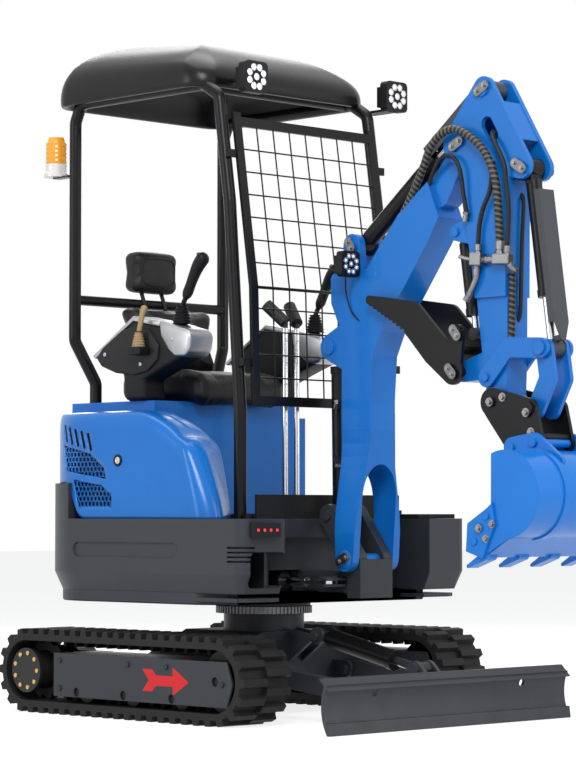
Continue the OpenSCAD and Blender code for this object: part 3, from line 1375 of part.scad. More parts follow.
// hitch and bucket
module opened() {
  translate([end_pin[0], 0, end_pin[1]]) rotate([0, -bucket_open, 0]) translate([-end_pin[0], 0, -end_pin[1]])
    children();
}
hitch_d = on_arm(hitch_pin_share);
bucket_p = on_bucket(bucket_pin_shares[0]);
bucket_q = on_bucket(bucket_pin_shares[1]);
module hitch() color(black) opened() difference() {
  union() {
    pair(hitch_in, hitch_t) {
      bar2d(end_pin, hitch_d, end_r, link_r);
      bar2d(end_pin, bucket_p, end_r, link_r);
      bar2d(hitch_d, bucket_q, link_r, hook_r);
      polygon([end_pin, hitch_d, bucket_q, bucket_p]);
    }
    side(0, 2 * hitch_in + hitch_t) bar2d(bucket_p + (end_pin - bucket_p) * hitch_web_share,
      bucket_q + (hitch_d - bucket_q) * hitch_web_share, hitch_web_r, hitch_web_r);
    pin_y(end_pin, pin_r, hitch_in + hitch_t + head_t_pin);
    pair(hitch_in + hitch_t, head_t_pin) disc(hitch_d, small_pin_r + head_extra);
  }
  for (p = [bucket_p, bucket_q]) pin_y(p, small_pin_r + gap, bucket_w);
}
bucket_c = on_bucket(bucket_round_share);
// everything ahead of the mouth of the bucket
module mouth2d() {
  far = 2 * bucket_round_r;
  top = on_bucket(bucket_top_share);
  mid = on_bucket(bucket_mid_share);
  polygon([top, mid, mid + [0, -far], bucket_c + [far, -far], bucket_c + [far, far], top + [0, far]]);
}
module bucket_side2d() {
  intersection() { disc(bucket_c, bucket_round_r); mouth2d(); }
  polygon([on_bucket(bucket_mid_share), on_bucket(bucket_lip_share), bucket_c + [0, -bucket_round_r], bucket_c]);
}
module bucket_band2d(outer, inner) intersection() {
  difference() { disc(bucket_c, outer); disc(bucket_c, inner); }
  mouth2d();
}
module bucket() color(blue) opened() {
  heel = bucket_c + [1, 1] * bucket_round_r * bucket_heel_share;
  pair(bucket_y - bucket_t, bucket_t) bucket_side2d();
  side(0, bucket_w - bucket_t) {
    bucket_band2d(bucket_round_r - joint, bucket_round_r - bucket_t);
    bar2d(bucket_c + [0, -bucket_round_r + bucket_t], on_bucket(bucket_lip_share), bucket_t - joint, bucket_t / 2);
  }
  pair(bucket_rib_in, bucket_rib_w) bucket_band2d(bucket_round_r + bucket_rib_t, bucket_round_r - bucket_t / 2);
  pair(bucket_ear_in, bucket_ear_t) difference() {
    union() {
      bar2d(bucket_p, bucket_q, link_r, link_r);
      bar2d(bucket_q, heel, link_r, link_r / 2);
      polygon([bucket_p - [link_r / 2, link_r / 2], bucket_q, heel, bucket_c]);
    }
    disc(bucket_c, bucket_round_r - bucket_t / 2);
  }
  for (p = [bucket_p, bucket_q]) pin_y(p, small_pin_r, bucket_ear_in + bucket_ear_t + head_t_pin);
  pair(bucket_y - weld, cutter_t + weld) polygon([for (q = cutter_shares) on_bucket(q)]);
  pair(bucket_y, cutter_t + cutter_bolt_t) for (q = cutter_bolt_shares) disc(on_bucket(q), cutter_bolt_r);
  for (i = [0 : tooth_n - 1]) {
    y = -bucket_y + tooth_w / 2 + i * (bucket_w - tooth_w) / (tooth_n - 1);
    side(y, tooth_w - bucket_t / 4)
      bar2d(on_bucket(bucket_lip_share), on_bucket(bucket_tip_share), tooth_t / 2, tooth_t / 5);
  }
}

// thumb
thumb_root_at_share = [-0.430, 0.787];
thumb_mid_share = [-1.086, 0.660];
thumb_tip_share = [-2.270, 0.580];
thumb_root = on_arm(thumb_root_at_share);
thumb_mid = on_arm(thumb_mid_share);
thumb_tip = on_arm(thumb_tip_share);
thumb_n = unit([(thumb_mid - thumb_tip)[1], -(thumb_mid - thumb_tip)[0]]);
thumb_pin_r = 40;
thumb_wide_r = 52;
thumb_mid_r = 50;
thumb_tip_r = 14;
notch_n = 9;
serration_r = 7;
serration_out = 2;
module thumb() color(black) difference() {
  union() {
    pair(thumb_in, thumb_t) {
      difference() {
        union() {
          bar2d(thumb_pin, thumb_root, thumb_pin_r, thumb_wide_r);
          bar2d(thumb_root, thumb_mid, thumb_wide_r, thumb_mid_r);
          bar2d(thumb_mid, thumb_tip, thumb_mid_r, thumb_tip_r);
        }
        // serrated gripping edge
        for (i = [1 : notch_n]) {
          t = i / (notch_n + 1);
          disc(thumb_tip + (thumb_mid - thumb_tip) * t + thumb_n * (thumb_tip_r + (thumb_mid_r - thumb_tip_r) * t + serration_out), serration_r);
        }
      }
      bar2d(thumb_pin, thumb_eye, thumb_boss_r, thumb_seat_r);
    }
    side(0, 2 * thumb_in + thumb_t) disc(thumb_root, small_pin_r);
    pin_y(thumb_pin, small_pin_r, thumb_in + thumb_t + head_t_pin);
    pair(thumb_in + thumb_t, head_t_pin) disc(thumb_eye, small_pin_r + head_extra);
  }
}
thumb_len = norm(thumb_eye - thumb_base);
module thumb_barrel() color(black) aim(thumb_base, thumb_eye)
  barrel(thumb_tube_l, thumb_tube_r, thumb_bore_r, thumb_rod_r, thumb_eye_r, thumb_cyl_w, small_pin_r);
module thumb_rod() color(chrome) aim(thumb_base, thumb_eye)
  ram_rod(thumb_len, thumb_len - thumb_rod_in, thumb_rod_r, thumb_bore_r, thumb_eye_r, thumb_cyl_w);

track_frame();
track_right();
track_left();
sprockets();
idlers();
rollers();
slew_ring();
blade();
blade_barrel();
blade_rod();
deck();
counterweight();
right_cover();
left_cover();
engine_hood();
engine();
seat_base();
floor();
seat();
headrest();
right_console();
left_console();
joysticks();
blade_lever();
travel_levers();
pedals();
canopy_frame();
roof();
mesh_guard();
canopy_lamps();
beacon();
marker_lamp();
swing_post();
swing_barrel();
swing_rod();
boom();
boom_lamp();
boom_barrel();
boom_rod();
arm();
arm_barrel();
arm_rod();
bucket_barrel();
bucket_rod();
lever();
link();
hitch();
bucket();
thumb();
thumb_barrel();
thumb_rod();
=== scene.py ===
import math

import bmesh
import bpy
import numpy as np
from mathutils import Matrix, Vector
from mathutils.bvhtree import BVHTree


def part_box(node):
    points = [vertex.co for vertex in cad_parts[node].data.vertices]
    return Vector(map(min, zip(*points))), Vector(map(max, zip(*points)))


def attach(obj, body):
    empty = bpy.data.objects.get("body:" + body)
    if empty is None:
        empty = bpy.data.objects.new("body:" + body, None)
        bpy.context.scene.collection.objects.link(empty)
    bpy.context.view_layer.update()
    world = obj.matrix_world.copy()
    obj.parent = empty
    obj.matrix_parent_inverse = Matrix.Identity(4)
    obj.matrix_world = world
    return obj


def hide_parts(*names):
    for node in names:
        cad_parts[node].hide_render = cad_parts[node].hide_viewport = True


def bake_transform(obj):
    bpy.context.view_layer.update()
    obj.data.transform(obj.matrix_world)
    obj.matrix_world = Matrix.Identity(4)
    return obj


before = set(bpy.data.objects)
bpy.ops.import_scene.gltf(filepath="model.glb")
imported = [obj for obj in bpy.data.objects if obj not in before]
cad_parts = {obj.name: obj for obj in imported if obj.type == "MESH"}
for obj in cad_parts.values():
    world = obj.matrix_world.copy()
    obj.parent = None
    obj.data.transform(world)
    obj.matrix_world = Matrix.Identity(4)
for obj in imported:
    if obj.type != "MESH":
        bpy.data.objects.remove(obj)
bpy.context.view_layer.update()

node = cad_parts
scene = bpy.context.scene


# Studio. A white sweep under even, soft light, seen from the front right at axle height
# through a long lens. The floor keeps the soft shadow under the tracks.
def pick(sockets, key):
    if isinstance(key, int):
        return sockets[key]
    named = [s for s in sockets if s.identifier == key] + [s for s in sockets if s.name == key]
    return named[0]


class Tone:
    """One value of a node tree. Arithmetic on it adds Math nodes."""

    def __init__(self, finish, socket):
        self.finish, self.socket = finish, socket

    def math(self, operation, *others, clamp=False):
        values = {i: v for i, v in enumerate((self, *others))}
        return self.finish.add("ShaderNodeMath", {"operation": operation, "use_clamp": clamp}, values)

    def __add__(self, other):
        return self.math("ADD", other)

    __radd__ = __add__

    def __mul__(self, other):
        return self.math("MULTIPLY", other)

    def __sub__(self, other):
        return self.math("SUBTRACT", other)

    def __rsub__(self, other):
        return (self * -1.0) + other

    def __gt__(self, other):
        return self.math("GREATER_THAN", other)

    def __lt__(self, other):
        return self.math("LESS_THAN", other)

    def __abs__(self):
        return self.math("ABSOLUTE")

    def clamp(self):
        return self.math("ADD", 0.0, clamp=True)


class Finish:
    """A material or a world under construction."""

    def __init__(self, name, owner=None):
        self.owner = owner or bpy.data.materials.new(name)
        self.owner.use_nodes = True
        self.tree = self.owner.node_tree
        self.tree.nodes.clear()

    def add(self, kind, settings=None, sockets=None, out=0):
        n = self.tree.nodes.new(kind)
        for key, value in (settings or {}).items():
            setattr(n, key, value)
        for key, value in (sockets or {}).items():
            socket = pick(n.inputs, key)
            if isinstance(value, Tone):
                self.tree.links.new(value.socket, socket)
            elif socket.type == "RGBA" and len(value) == 3:
                socket.default_value = (*value, 1.0)
            else:
                socket.default_value = value
        return Tone(self, pick(n.outputs, out)) if n.outputs else None

    def place(self):
        return self.add("ShaderNodeTexCoord", out="Object")

    def axis(self, name):
        return self.add("ShaderNodeSeparateXYZ", sockets={0: self.place()}, out=name)

    def noise(self, scale, detail=2.0, stretch=None):
        where = self.place()
        if stretch:
            where = self.add("ShaderNodeMapping", None, {"Vector": where, "Scale": stretch})
        return self.add("ShaderNodeTexNoise", None, {"Vector": where, "Scale": scale, "Detail": detail}, "Fac")

    def mix(self, factor, a, b):
        return self.add("ShaderNodeMix", {"data_type": "RGBA"},
                        {"Factor_Float": factor, "A_Color": a, "B_Color": b}, "Result_Color")

    def step(self, value, low, high):
        return self.add("ShaderNodeMapRange", {"interpolation_type": "SMOOTHSTEP"},
                        {"Value": value, "From Min": low, "From Max": high})

    def rounded(self, radius):
        return self.add("ShaderNodeBevel", {"samples": 4}, {"Radius": radius})

    def edges(self, rounded):
        flat = self.add("ShaderNodeNewGeometry", out="Normal")
        return 1.0 - self.add("ShaderNodeVectorMath", {"operation": "DOT_PRODUCT"}, {0: rounded, 1: flat}, "Value")

    def bump(self, height, distance, normal=None):
        sockets = {"Height": height, "Distance": distance}
        if normal:
            sockets["Normal"] = normal
        return self.add("ShaderNodeBump", None, sockets)

    def surface(self, **sockets):
        named = {k.replace("_", " "): v for k, v in sockets.items()}
        shader = self.add("ShaderNodeBsdfPrincipled", None, named)
        self.add("ShaderNodeOutputMaterial", None, {"Surface": shader})
        return self.owner


lens = bpy.data.cameras.new("camera")
lens.lens, lens.sensor_width, lens.sensor_fit = 128.4, 36.0, "AUTO"
camera = bpy.data.objects.new("camera", lens)
heading, climb = math.radians(45.6), math.radians(2.695)
look = Vector((-math.sin(heading) * math.cos(climb), math.cos(heading) * math.cos(climb), math.sin(climb)))
camera.location = (6.413, -6.171, 0.644)
camera.rotation_euler = look.to_track_quat("-Z", "Y").to_euler()
scene.collection.objects.link(camera)
scene.camera = camera
scene.view_settings.view_transform = "Standard"


def seen(finish):
    path = finish.tree.nodes.new("ShaderNodeLightPath")
    names = ("Is Camera Ray", "Is Glossy Ray", "Is Transmission Ray")
    a, b, c = (Tone(finish, path.outputs[n]) for n in names)
    return (a + b + c).clamp()


scene.world = bpy.data.worlds.new("studio")
air = Finish("studio", scene.world)
fill = air.add("ShaderNodeBackground", None, {"Color": (0.93, 0.96, 1.0), "Strength": 0.30})
white = air.add("ShaderNodeBackground", None, {"Color": (1.0, 1.0, 1.0), "Strength": 1.0})
sky = air.add("ShaderNodeMixShader", None, {0: seen(air), 1: fill, 2: white})
air.add("ShaderNodeOutputWorld", None, {"Surface": sky})

ground = Finish("studio_floor")
matt = ground.add("ShaderNodeBsdfDiffuse", None, {"Color": (0.80, 0.80, 0.81)})
glow = ground.add("ShaderNodeEmission", None, {"Color": (1.0, 1.0, 1.0), "Strength": 1.42})
both = ground.add("ShaderNodeMixShader", None, {0: seen(ground) * 0.56, 1: matt, 2: glow})
ground.add("ShaderNodeOutputMaterial", None, {"Surface": both})
sweep = bpy.data.meshes.new("studio_floor")
sweep.from_pydata([(-30, -30, -0.001), (30, -30, -0.001), (30, 30, -0.001), (-30, 30, -0.001)], [], [(0, 1, 2, 3)])
sweep.materials.append(ground.owner)
floor_plane = bpy.data.objects.new("studio_floor", sweep)
scene.collection.objects.link(floor_plane)

for name, at, size, watts in (("key", (4.6, -4.6, 5.0), 2.6, 330.0), ("front", (6.0, 2.2, 2.6), 3.0, 120.0),
                              ("top", (-0.4, 0.2, 5.6), 4.0, 170.0), ("back", (-4.5, 3.5, 3.6), 3.0, 90.0),
                              ("side", (-2.0, -6.0, 2.4), 2.6, 90.0)):
    light = bpy.data.lights.new(name, "AREA")
    light.size, light.energy = size, watts
    holder = bpy.data.objects.new(name, light)
    holder.location = at
    holder.rotation_euler = (Vector((0.2, 0.0, 0.9)) - Vector(at)).to_track_quat("-Z", "Y").to_euler()
    scene.collection.objects.link(holder)


# Track frames and centre body. Welded plate in dark grey: two box side frames, each with
# a bolted outer plate and a painted travel arrow, joined by the body under the slew ring.
GREY = (0.027, 0.031, 0.038)


def dress(finish, *names):
    for n in names:
        if not node[n].material_slots:
            node[n].data.materials.append(finish)
        for s in node[n].material_slots:
            s.material = finish


def worn_colour(f, colour, soft, worn):
    cloud = f.noise(2.6, 3.0)
    base = f.mix(cloud, tuple(c * 0.9 for c in colour), tuple(min(1.0, c * 1.1 + 0.003) for c in colour))
    rub = f.step(f.edges(soft) * (0.5 + f.noise(55.0, 4.0)), 0.10, 0.55)
    return f.mix(rub * worn, base, tuple(min(1.0, c * 1.8 + 0.03) for c in colour))


def painted(name, colour, rough=0.36, coat=0.3, gloss=0.35, peel=0.00012, corner=0.0025, worn=0.25, dust=0.0):
    f = Finish(name)
    soft = f.rounded(corner)
    fine = f.noise(520.0, 1.0)
    base = worn_colour(f, colour, soft, worn)
    if dust:
        low = (1.0 - f.step(f.axis("Z"), 0.0, 0.20)) * f.noise(14.0, 5.0) * dust
        base = f.mix(low, base, (0.26, 0.24, 0.21))
    return f.surface(Base_Color=base, Roughness=rough + f.noise(4.0, 3.0) * 0.10 + fine * 0.05, Coat_Weight=coat,
                     Coat_Roughness=0.10, Specular_IOR_Level=gloss, Normal=f.bump(fine, peel, soft))


grey_paint = painted("grey_paint", GREY, rough=0.42, coat=0.05, gloss=0.24, peel=0.00022)


def arrow_plate():
    f = Finish("side_plate_paint")
    soft = f.rounded(0.0025)
    x, y, z = f.axis("X"), f.axis("Y"), f.axis("Z")
    plate_face, bolt_face, middle = 0.530, 0.533, 0.128
    across = abs(z - middle)
    shaft = (x > 0.060) * (x < 0.165) * (across < 0.016)
    fletch = ((x + across * 0.9) > 0.040) * ((x + across * 0.9) < 0.086) * (across < 0.034)
    head = (x > 0.150) * (x < 0.222) * (across < (0.222 - x) * 0.60)
    sign = (shaft + fletch + head).clamp() * (abs(y) > plate_face) * (abs(y) < bolt_face - 0.0001)
    base = worn_colour(f, GREY, soft, 0.25)
    base = f.mix(sign, base, (0.64, 0.016, 0.018))
    fine = f.noise(520.0, 1.0)
    bolt = abs(y) > bolt_face
    base = f.mix(bolt, base, (0.022, 0.022, 0.024))
    return f.surface(Base_Color=base, Roughness=0.40 + fine * 0.06, Coat_Weight=0.05, Specular_IOR_Level=0.24,
                     Normal=f.bump(fine, 0.0002, soft))


dress(arrow_plate(), "track_frame")


# Tracks. Black rubber belts moulded in one loop over steel cores, with square block
# lugs outside and guide horns inside; scuffed grey along the edges of the lugs.
def rubber():
    f = Finish("track_rubber")
    soft = f.rounded(0.003)
    cloud, fine = f.noise(9.0, 5.0), f.noise(260.0, 3.0)
    base = f.mix(cloud, (0.008, 0.008, 0.009), (0.018, 0.0177, 0.0174))
    rub = f.step(f.edges(soft) * (0.4 + cloud), 0.08, 0.5)
    base = f.mix(rub * 0.5, base, (0.075, 0.073, 0.070))
    return f.surface(Base_Color=base, Roughness=0.56 + fine * 0.2, Specular_IOR_Level=0.22,
                     Normal=f.bump(fine, 0.0006, soft))


dress(rubber(), "track_right", "track_left")


# Sprockets, idlers and rollers. Cast and turned steel in black paint; each drive hub
# has a ring of yellow zinc bolts.
def hub_paint():
    f = Finish("hub_paint")
    soft = f.rounded(0.002)
    bolt = abs(f.axis("Y")) > 0.5363
    cloud = f.noise(30.0, 4.0)
    base = f.mix(cloud, (0.008, 0.008, 0.009), (0.020, 0.020, 0.021))
    base = f.mix(bolt, base, (0.60, 0.42, 0.14))
    return f.surface(Base_Color=base, Metallic=bolt * 0.85, Roughness=0.46 - bolt * 0.15 + cloud * 0.1,
                     Specular_IOR_Level=0.3, Normal=f.bump(f.noise(300.0, 2.0), 0.0003, soft))


black_paint = painted("black_paint", (0.005, 0.005, 0.006), rough=0.26, coat=0.04, gloss=0.16, peel=0.0001,
                      corner=0.0018, worn=0.16)
dress(hub_paint(), "sprockets")
dress(black_paint, "idlers", "rollers")


# Slew ring. Bare machined steel gear ring, oiled, bolted between the centre body and the
# deck, so that the house turns on it.
def bare_steel(name, colour, rough, corner=0.0012):
    f = Finish(name)
    soft = f.rounded(corner)
    turned, stain = f.noise(1.0, 2.0, (18.0, 18.0, 900.0)), f.noise(12.0, 5.0)
    base = f.mix(stain, tuple(c * 0.7 for c in colour), tuple(min(1.0, c * 1.15) for c in colour))
    return f.surface(Base_Color=base, Metallic=1.0, Roughness=rough + stain * 0.12 + turned * 0.06,
                     Normal=f.bump(turned, 0.0001, soft))


dress(bare_steel("ring_steel", (0.26, 0.26, 0.27), 0.4), "slew_ring")


# Blade and its ram. Rolled plate mouldboard welded to two box arms, dark grey; the ram
# has a black tube and a hard-chromed rod with a black eye.
CHROME = (0.60, 0.61, 0.63), (0.72, 0.73, 0.75)


def chrome_rod(name, base, eye, radius, other=(0.010, 0.010, 0.011)):
    """Chrome within the rod's own radius of the line from base to eye; the rest in another colour."""
    f = Finish(name)
    soft = f.rounded(0.0012)
    (ax, az), (bx, bz) = base, eye
    span = math.hypot(bx - ax, bz - az)
    ux, uz = (bx - ax) / span, (bz - az) / span
    x, y, z = f.axis("X"), f.axis("Y"), f.axis("Z")
    off = (x - ax) * -uz + (z - az) * ux
    along = (x - ax) * ux + (z - az) * uz
    bright = ((off * off + y * y) < radius * radius) * (along < span - radius * 1.6)
    haze = f.noise(40.0, 3.0)
    base_colour = f.mix(bright, f.mix(haze, tuple(c * 0.85 for c in other), tuple(c * 1.15 for c in other)),
                        f.mix(haze, *CHROME))
    return f.surface(Base_Color=base_colour, Metallic=bright, Roughness=0.40 - bright * 0.28 + haze * 0.06,
                     Specular_IOR_Level=0.35, Normal=soft)


dress(painted("blade_paint", GREY, rough=0.40, coat=0.06, gloss=0.24, peel=0.0002, dust=0.12), "blade")
dress(black_paint, "blade_barrel")
dress(chrome_rod("blade_rod_chrome", (0.280, 0.251), (0.697, 0.165), 0.0135), "blade_rod")


# Deck and counterweight. The deck is plate, the counterweight a smooth iron casting that
# wraps the tail and both sides, in the same dark grey with softly rounded corners.
dress(painted("casting_paint", GREY, rough=0.38, coat=0.08, gloss=0.26, peel=0.0003, corner=0.007, worn=0.18),
      "counterweight")
dress(grey_paint, "deck")


def arc(cx, cy, r, start, end, count):
    turns = (math.radians(start + (end - start) * k / (count - 1)) for k in range(count))
    return [(cx + r * math.cos(t), cy + r * math.sin(t)) for t in turns]


def link(name, mesh):
    thing = bpy.data.objects.new(name, mesh)
    scene.collection.objects.link(thing)
    return thing


def baked(name, bm):
    mesh = bpy.data.meshes.new(name)
    bm.to_mesh(mesh)
    bm.free()
    return mesh


def finished(name, bm):
    bmesh.ops.recalc_face_normals(bm, faces=bm.faces[:])
    return baked(name, bm)


def stitch(bm, rings, caps=True):
    """Faces from each ring of points to the next, and over both ends."""
    for p, q in zip(rings, rings[1:]):
        for k in range(len(p)):
            n = (k + 1) % len(p)
            bm.faces.new((p[k], p[n], q[n], q[k]))
    if caps:
        bm.faces.new(rings[0][::-1])
        bm.faces.new(rings[-1])


def piece(name, mesh, finish, body, *replaced, smooth=True):
    mesh.materials.clear()
    mesh.materials.append(finish)
    mesh.polygons.foreach_set("use_smooth", [smooth] * len(mesh.polygons))
    thing = link(name, mesh)
    if body:
        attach(thing, body)
    if replaced:
        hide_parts(*replaced)
    return thing


def rim_mesh():
    bm, rings = bmesh.new(), []
    for inset, z in ((0.060, 0.362), (0.030, 0.362), (0.026, 0.366), (0.026, 0.4005), (0.060, 0.4005)):
        back, half, r = -0.603 + inset, 0.510 - inset, 0.250 - inset
        plan = arc(back + r, half - r, r, 90, 180, 12) + arc(back + r, -half + r, r, 180, 270, 12)
        plan += [(0.20, -half), (0.30, -half + 0.05), (0.30, half - 0.05), (0.20, half)]
        rings.append([bm.verts.new((x, y, z)) for x, y in plan])
    stitch(bm, rings + rings[:1], caps=False)
    return finished("deck_rim", bm)


piece("deck_rim", rim_mesh(), grey_paint, "upper", smooth=False)


# Side covers and hood. Pressed panels in glossy blue with deep rounded edges; the right
# one has slanted air slots, two hexagonal grilles over a flat black sheet that is painted
# shade for the dark inside of the cover, and a key lock.
BLUE = (0.002, 0.140, 0.500)


def settled(thing):
    """The mesh as its modifiers leave it, and the object gone."""
    mesh = bpy.data.meshes.new_from_object(thing.evaluated_get(bpy.context.evaluated_depsgraph_get()))
    name = thing.name
    bpy.data.objects.remove(thing)
    mesh.name = name
    return mesh


def merged(name, meshes):
    bm = bmesh.new()
    for m in meshes:
        bm.from_mesh(m)
    return baked(name, bm)


def extruded(corners, way):
    bm = bmesh.new()
    face = bm.faces.new([bm.verts.new(c) for c in corners])
    grown = bmesh.ops.extrude_face_region(bm, geom=[face])["geom"]
    bmesh.ops.translate(bm, vec=way, verts=[v for v in grown if isinstance(v, bmesh.types.BMVert)])
    bmesh.ops.recalc_face_normals(bm, faces=bm.faces[:])
    return bm


def slab(outline, low, high, bevel=0.0, segments=3):
    """A side outline in X and Z, given thickness along Y, with all edges rounded."""
    bm = extruded([(x, low, z) for x, z in outline], (0, high - low, 0))
    if bevel:
        bmesh.ops.bevel(bm, geom=bm.edges[:], offset=bevel, segments=segments, profile=0.5, affect="EDGES",
                        clamp_overlap=True)
    return finished("slab", bm)


def stadium(p, q, r, count=9):
    tilt = math.degrees(math.atan2(q[1] - p[1], q[0] - p[0]))
    return arc(*p, r, tilt + 90, tilt + 270, count) + arc(*q, r, tilt - 90, tilt + 90, count)


def cover_shell():
    inner, outer, low, step_low = -0.3255, -0.496, 0.6263, 0.7403
    plan = [(-0.580, inner)] + arc(-0.353, -0.260, 0.236, 196, 270, 9)
    plan += [(x, outer) for x in (-0.30, -0.22, -0.14, -0.06, 0.02, 0.10, 0.16)]
    plan += arc(0.204, -0.436, 0.060, -90, 8, 8) + [(0.232, -0.388)] + arc(0.182, -0.345, 0.0195, 10, 90, 5)
    plan += [(x, inner) for x in (0.10, 0.02, -0.06, -0.14, -0.22, -0.30, -0.38, -0.46, -0.53)]

    def crown(x):
        t = min(1.0, max(0.0, (x + 0.070) / 0.260))
        return 0.969 - 0.090 * t * t * (3 - 2 * t)

    bm, rings = bmesh.new(), []
    edge = 0.052
    for s, rise, t in ((0, 0, 0), (0, 0, 0.12), (0, 0, 0.35), (0, 0, 0.6), (0, 0, 0.85), (0, 0, 1), (0.035, 0.42, 1),
                       (0.12, 0.74, 1), (0.26, 0.92, 1), (0.44, 0.99, 1), (0.70, 1, 1), (0.90, 1, 1), (0.995, 1, 1)):
        ring = []
        for x, y in plan:
            nose = min(1.0, max(0.0, (x - 0.09) / 0.174))
            base = step_low if x < -0.379 else low
            px = x - nose * 0.074 * t ** 1.3 - nose * 0.024 * rise
            mx, my = min(0.08, max(-0.49, x)), (inner + outer) / 2
            px, py = px + (mx - px) * s, y + (my - y) * s
            z = base + t * (crown(px + nose * 0.09 * (1.0 - s)) - edge - base) + edge * rise
            ring.append(bm.verts.new((px, py, z)))
        rings.append(ring)
    stitch(bm, rings, caps=False)
    bm.faces.new(rings[-1])
    shell = link("right_cover_shell", finished("right_cover_shell", bm))
    finer = shell.modifiers.new("finer", "SUBSURF")
    finer.levels = finer.render_levels = 2
    wall = shell.modifiers.new("wall", "SOLIDIFY")
    wall.thickness, wall.offset = 0.005, -1.0
    return settled(shell)


def in_frame(origin, size, shares):
    return [(origin[0] + size[0] * x, origin[1] + size[1] * z) for x, z in shares]


grilles = (in_frame((-0.431, 0.752), (0.222, 0.112), ((0, 1), (0.66, 0.72), (0.95, 0.32), (1, 0), (0.09, 0.24))),
           in_frame((-0.372, 0.664), (0.190, 0.086), ((0, 1), (0.76, 0.78), (1, 0.38), (1, 0), (0.14, 0))))
slots = [stadium((-0.426 + 0.032 * k, 0.922 - 0.007 * k), (-0.412 + 0.032 * k, 0.876 - 0.007 * k), 0.007)
         for k in range(5)]


def cut(mesh, cutters):
    panel, tool = link("panel", mesh), link("tool", merged("tool", cutters))
    trim = panel.modifiers.new("cut", "BOOLEAN")
    trim.operation, trim.object, trim.solver = "DIFFERENCE", tool, "EXACT"
    done = settled(panel)
    bpy.data.objects.remove(tool)
    return done


glossy_blue = painted("glossy_blue", BLUE, rough=0.20, coat=0.30, gloss=0.2, corner=0.002, worn=0.10)
piece("right_cover_shell", cut(cover_shell(), [slab(o, -0.520, -0.470) for o in (*grilles, *slots)]),
      glossy_blue, "upper", "right_cover")


class Grove:
    """A geometry tree: nodes are added with their settings, then the values or links of their sockets."""

    def __init__(self, name, **inputs):
        self.tree = bpy.data.node_groups.new(name, "GeometryNodeTree")
        self.tree.interface.new_socket("Points", in_out="INPUT", socket_type="NodeSocketGeometry")
        for label, kind in inputs.items():
            self.tree.interface.new_socket(label, in_out="INPUT", socket_type=kind)
        self.tree.interface.new_socket("Mesh", in_out="OUTPUT", socket_type="NodeSocketGeometry")
        self.given = self.tree.nodes.new("NodeGroupInput")

    def add(self, kind, settings=None, sockets=None, out=0):
        n = self.tree.nodes.new(kind)
        for key, value in (settings or {}).items():
            setattr(n, key, value)
        for key, value in (sockets or {}).items():
            socket = pick(n.inputs, key)
            for one in value if isinstance(value, list) else [value]:
                if isinstance(one, bpy.types.NodeSocket):
                    self.tree.links.new(one, socket)
                else:
                    socket.default_value = one
        return pick(n.outputs, out) if n.outputs else None

    def value(self, label):
        return pick(self.given.outputs, label)

    def attribute(self, label, kind):
        return self.add("GeometryNodeInputNamedAttribute", {"data_type": kind}, {"Name": label}, "Attribute")

    def stand(self, shape):
        turn = self.add("FunctionNodeAlignRotationToVector", {"axis": "Z"},
                        {"Vector": self.attribute("facing", "FLOAT_VECTOR")})
        return self.add("GeometryNodeInstanceOnPoints", None,
                        {"Points": self.value("Points"), "Instance": shape, "Rotation": turn,
                         "Scale": self.attribute("size", "FLOAT")})

    def close(self, *shapes):
        done = []
        for shape, finish in shapes:
            real = self.add("GeometryNodeRealizeInstances", None, {"Geometry": self.stand(shape)})
            done.append(self.add("GeometryNodeSetMaterial", None,
                                 {"Geometry": real, "Material": self.value(finish)}))
        joined = self.add("GeometryNodeJoinGeometry", None, {"Geometry": done[::-1]})
        self.add("NodeGroupOutput", None, {0: joined})
        return self.tree


def planted(name, tree, spots, body, **inputs):
    """The tree's shape on each (point, facing, size), as one plain mesh that rides on a body."""
    mesh = bpy.data.meshes.new(name)
    mesh.from_pydata([s[0] for s in spots], [], [])
    facing = mesh.attributes.new("facing", "FLOAT_VECTOR", "POINT")
    facing.data.foreach_set("vector", [c for s in spots for c in s[1]])
    size = mesh.attributes.new("size", "FLOAT", "POINT")
    size.data.foreach_set("value", [s[2] for s in spots])
    holder = link(name, mesh)
    grown = holder.modifiers.new("tree", "NODES")
    grown.node_group = tree
    for socket in tree.interface.items_tree:
        if socket.in_out == "INPUT" and socket.name in inputs:
            grown[socket.identifier] = inputs[socket.name]
    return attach(link(name, settled(holder)), body)


def cell_tree():
    g = Grove("grille_cells", Wall="NodeSocketFloat", Deep="NodeSocketFloat", Paint="NodeSocketMaterial")
    ring = g.add("GeometryNodeCurvePrimitiveCircle", {"mode": "RADIUS"}, {"Resolution": 6, "Radius": 1.0})
    bar = g.add("GeometryNodeCurvePrimitiveQuadrilateral", {"mode": "RECTANGLE"},
                {"Width": g.value("Wall"), "Height": g.value("Deep")})
    cell = g.add("GeometryNodeCurveToMesh", None, {"Curve": ring, "Profile Curve": bar})
    return g.close((cell, "Paint"))


def holds(outline, x, z):
    inside = False
    for (ax, az), (bx, bz) in zip(outline, outline[1:] + outline[:1]):
        if (az > z) != (bz > z) and x < (bx - ax) * (z - az) / (bz - az) + ax:
            inside = not inside
    return inside


cell_r = 0.0105
cells = []
for outline in grilles:
    wide, tall = cell_r * math.sqrt(3), cell_r * 1.5
    for j in range(-10, 12):
        for i in range(-4, 18):
            x, z = -0.431 + wide * (i + (j % 2) / 2), 0.752 + tall * j
            if holds(outline, x, z):
                bow = math.sqrt(0.236 ** 2 - min(0.0, x + 0.353) ** 2)
                cells.append(((x, -0.2525 - bow, z), (0.0, -1.0, 0.0), cell_r))
planted("cover_grilles", cell_tree(), cells, "upper", Wall=0.26, Deep=0.5, Paint=glossy_blue)
# Painted shade: a flat black sheet just inside the grilles and slots, standing in for the dark inside of the cover.
shade_sheet = [(-0.445, 0.655), (-0.165, 0.655), (-0.165, 0.860), (-0.250, 0.935), (-0.445, 0.935)]
piece("cover_shade_sheet", slab(shade_sheet, -0.468, -0.465), black_paint, "upper", smooth=False)


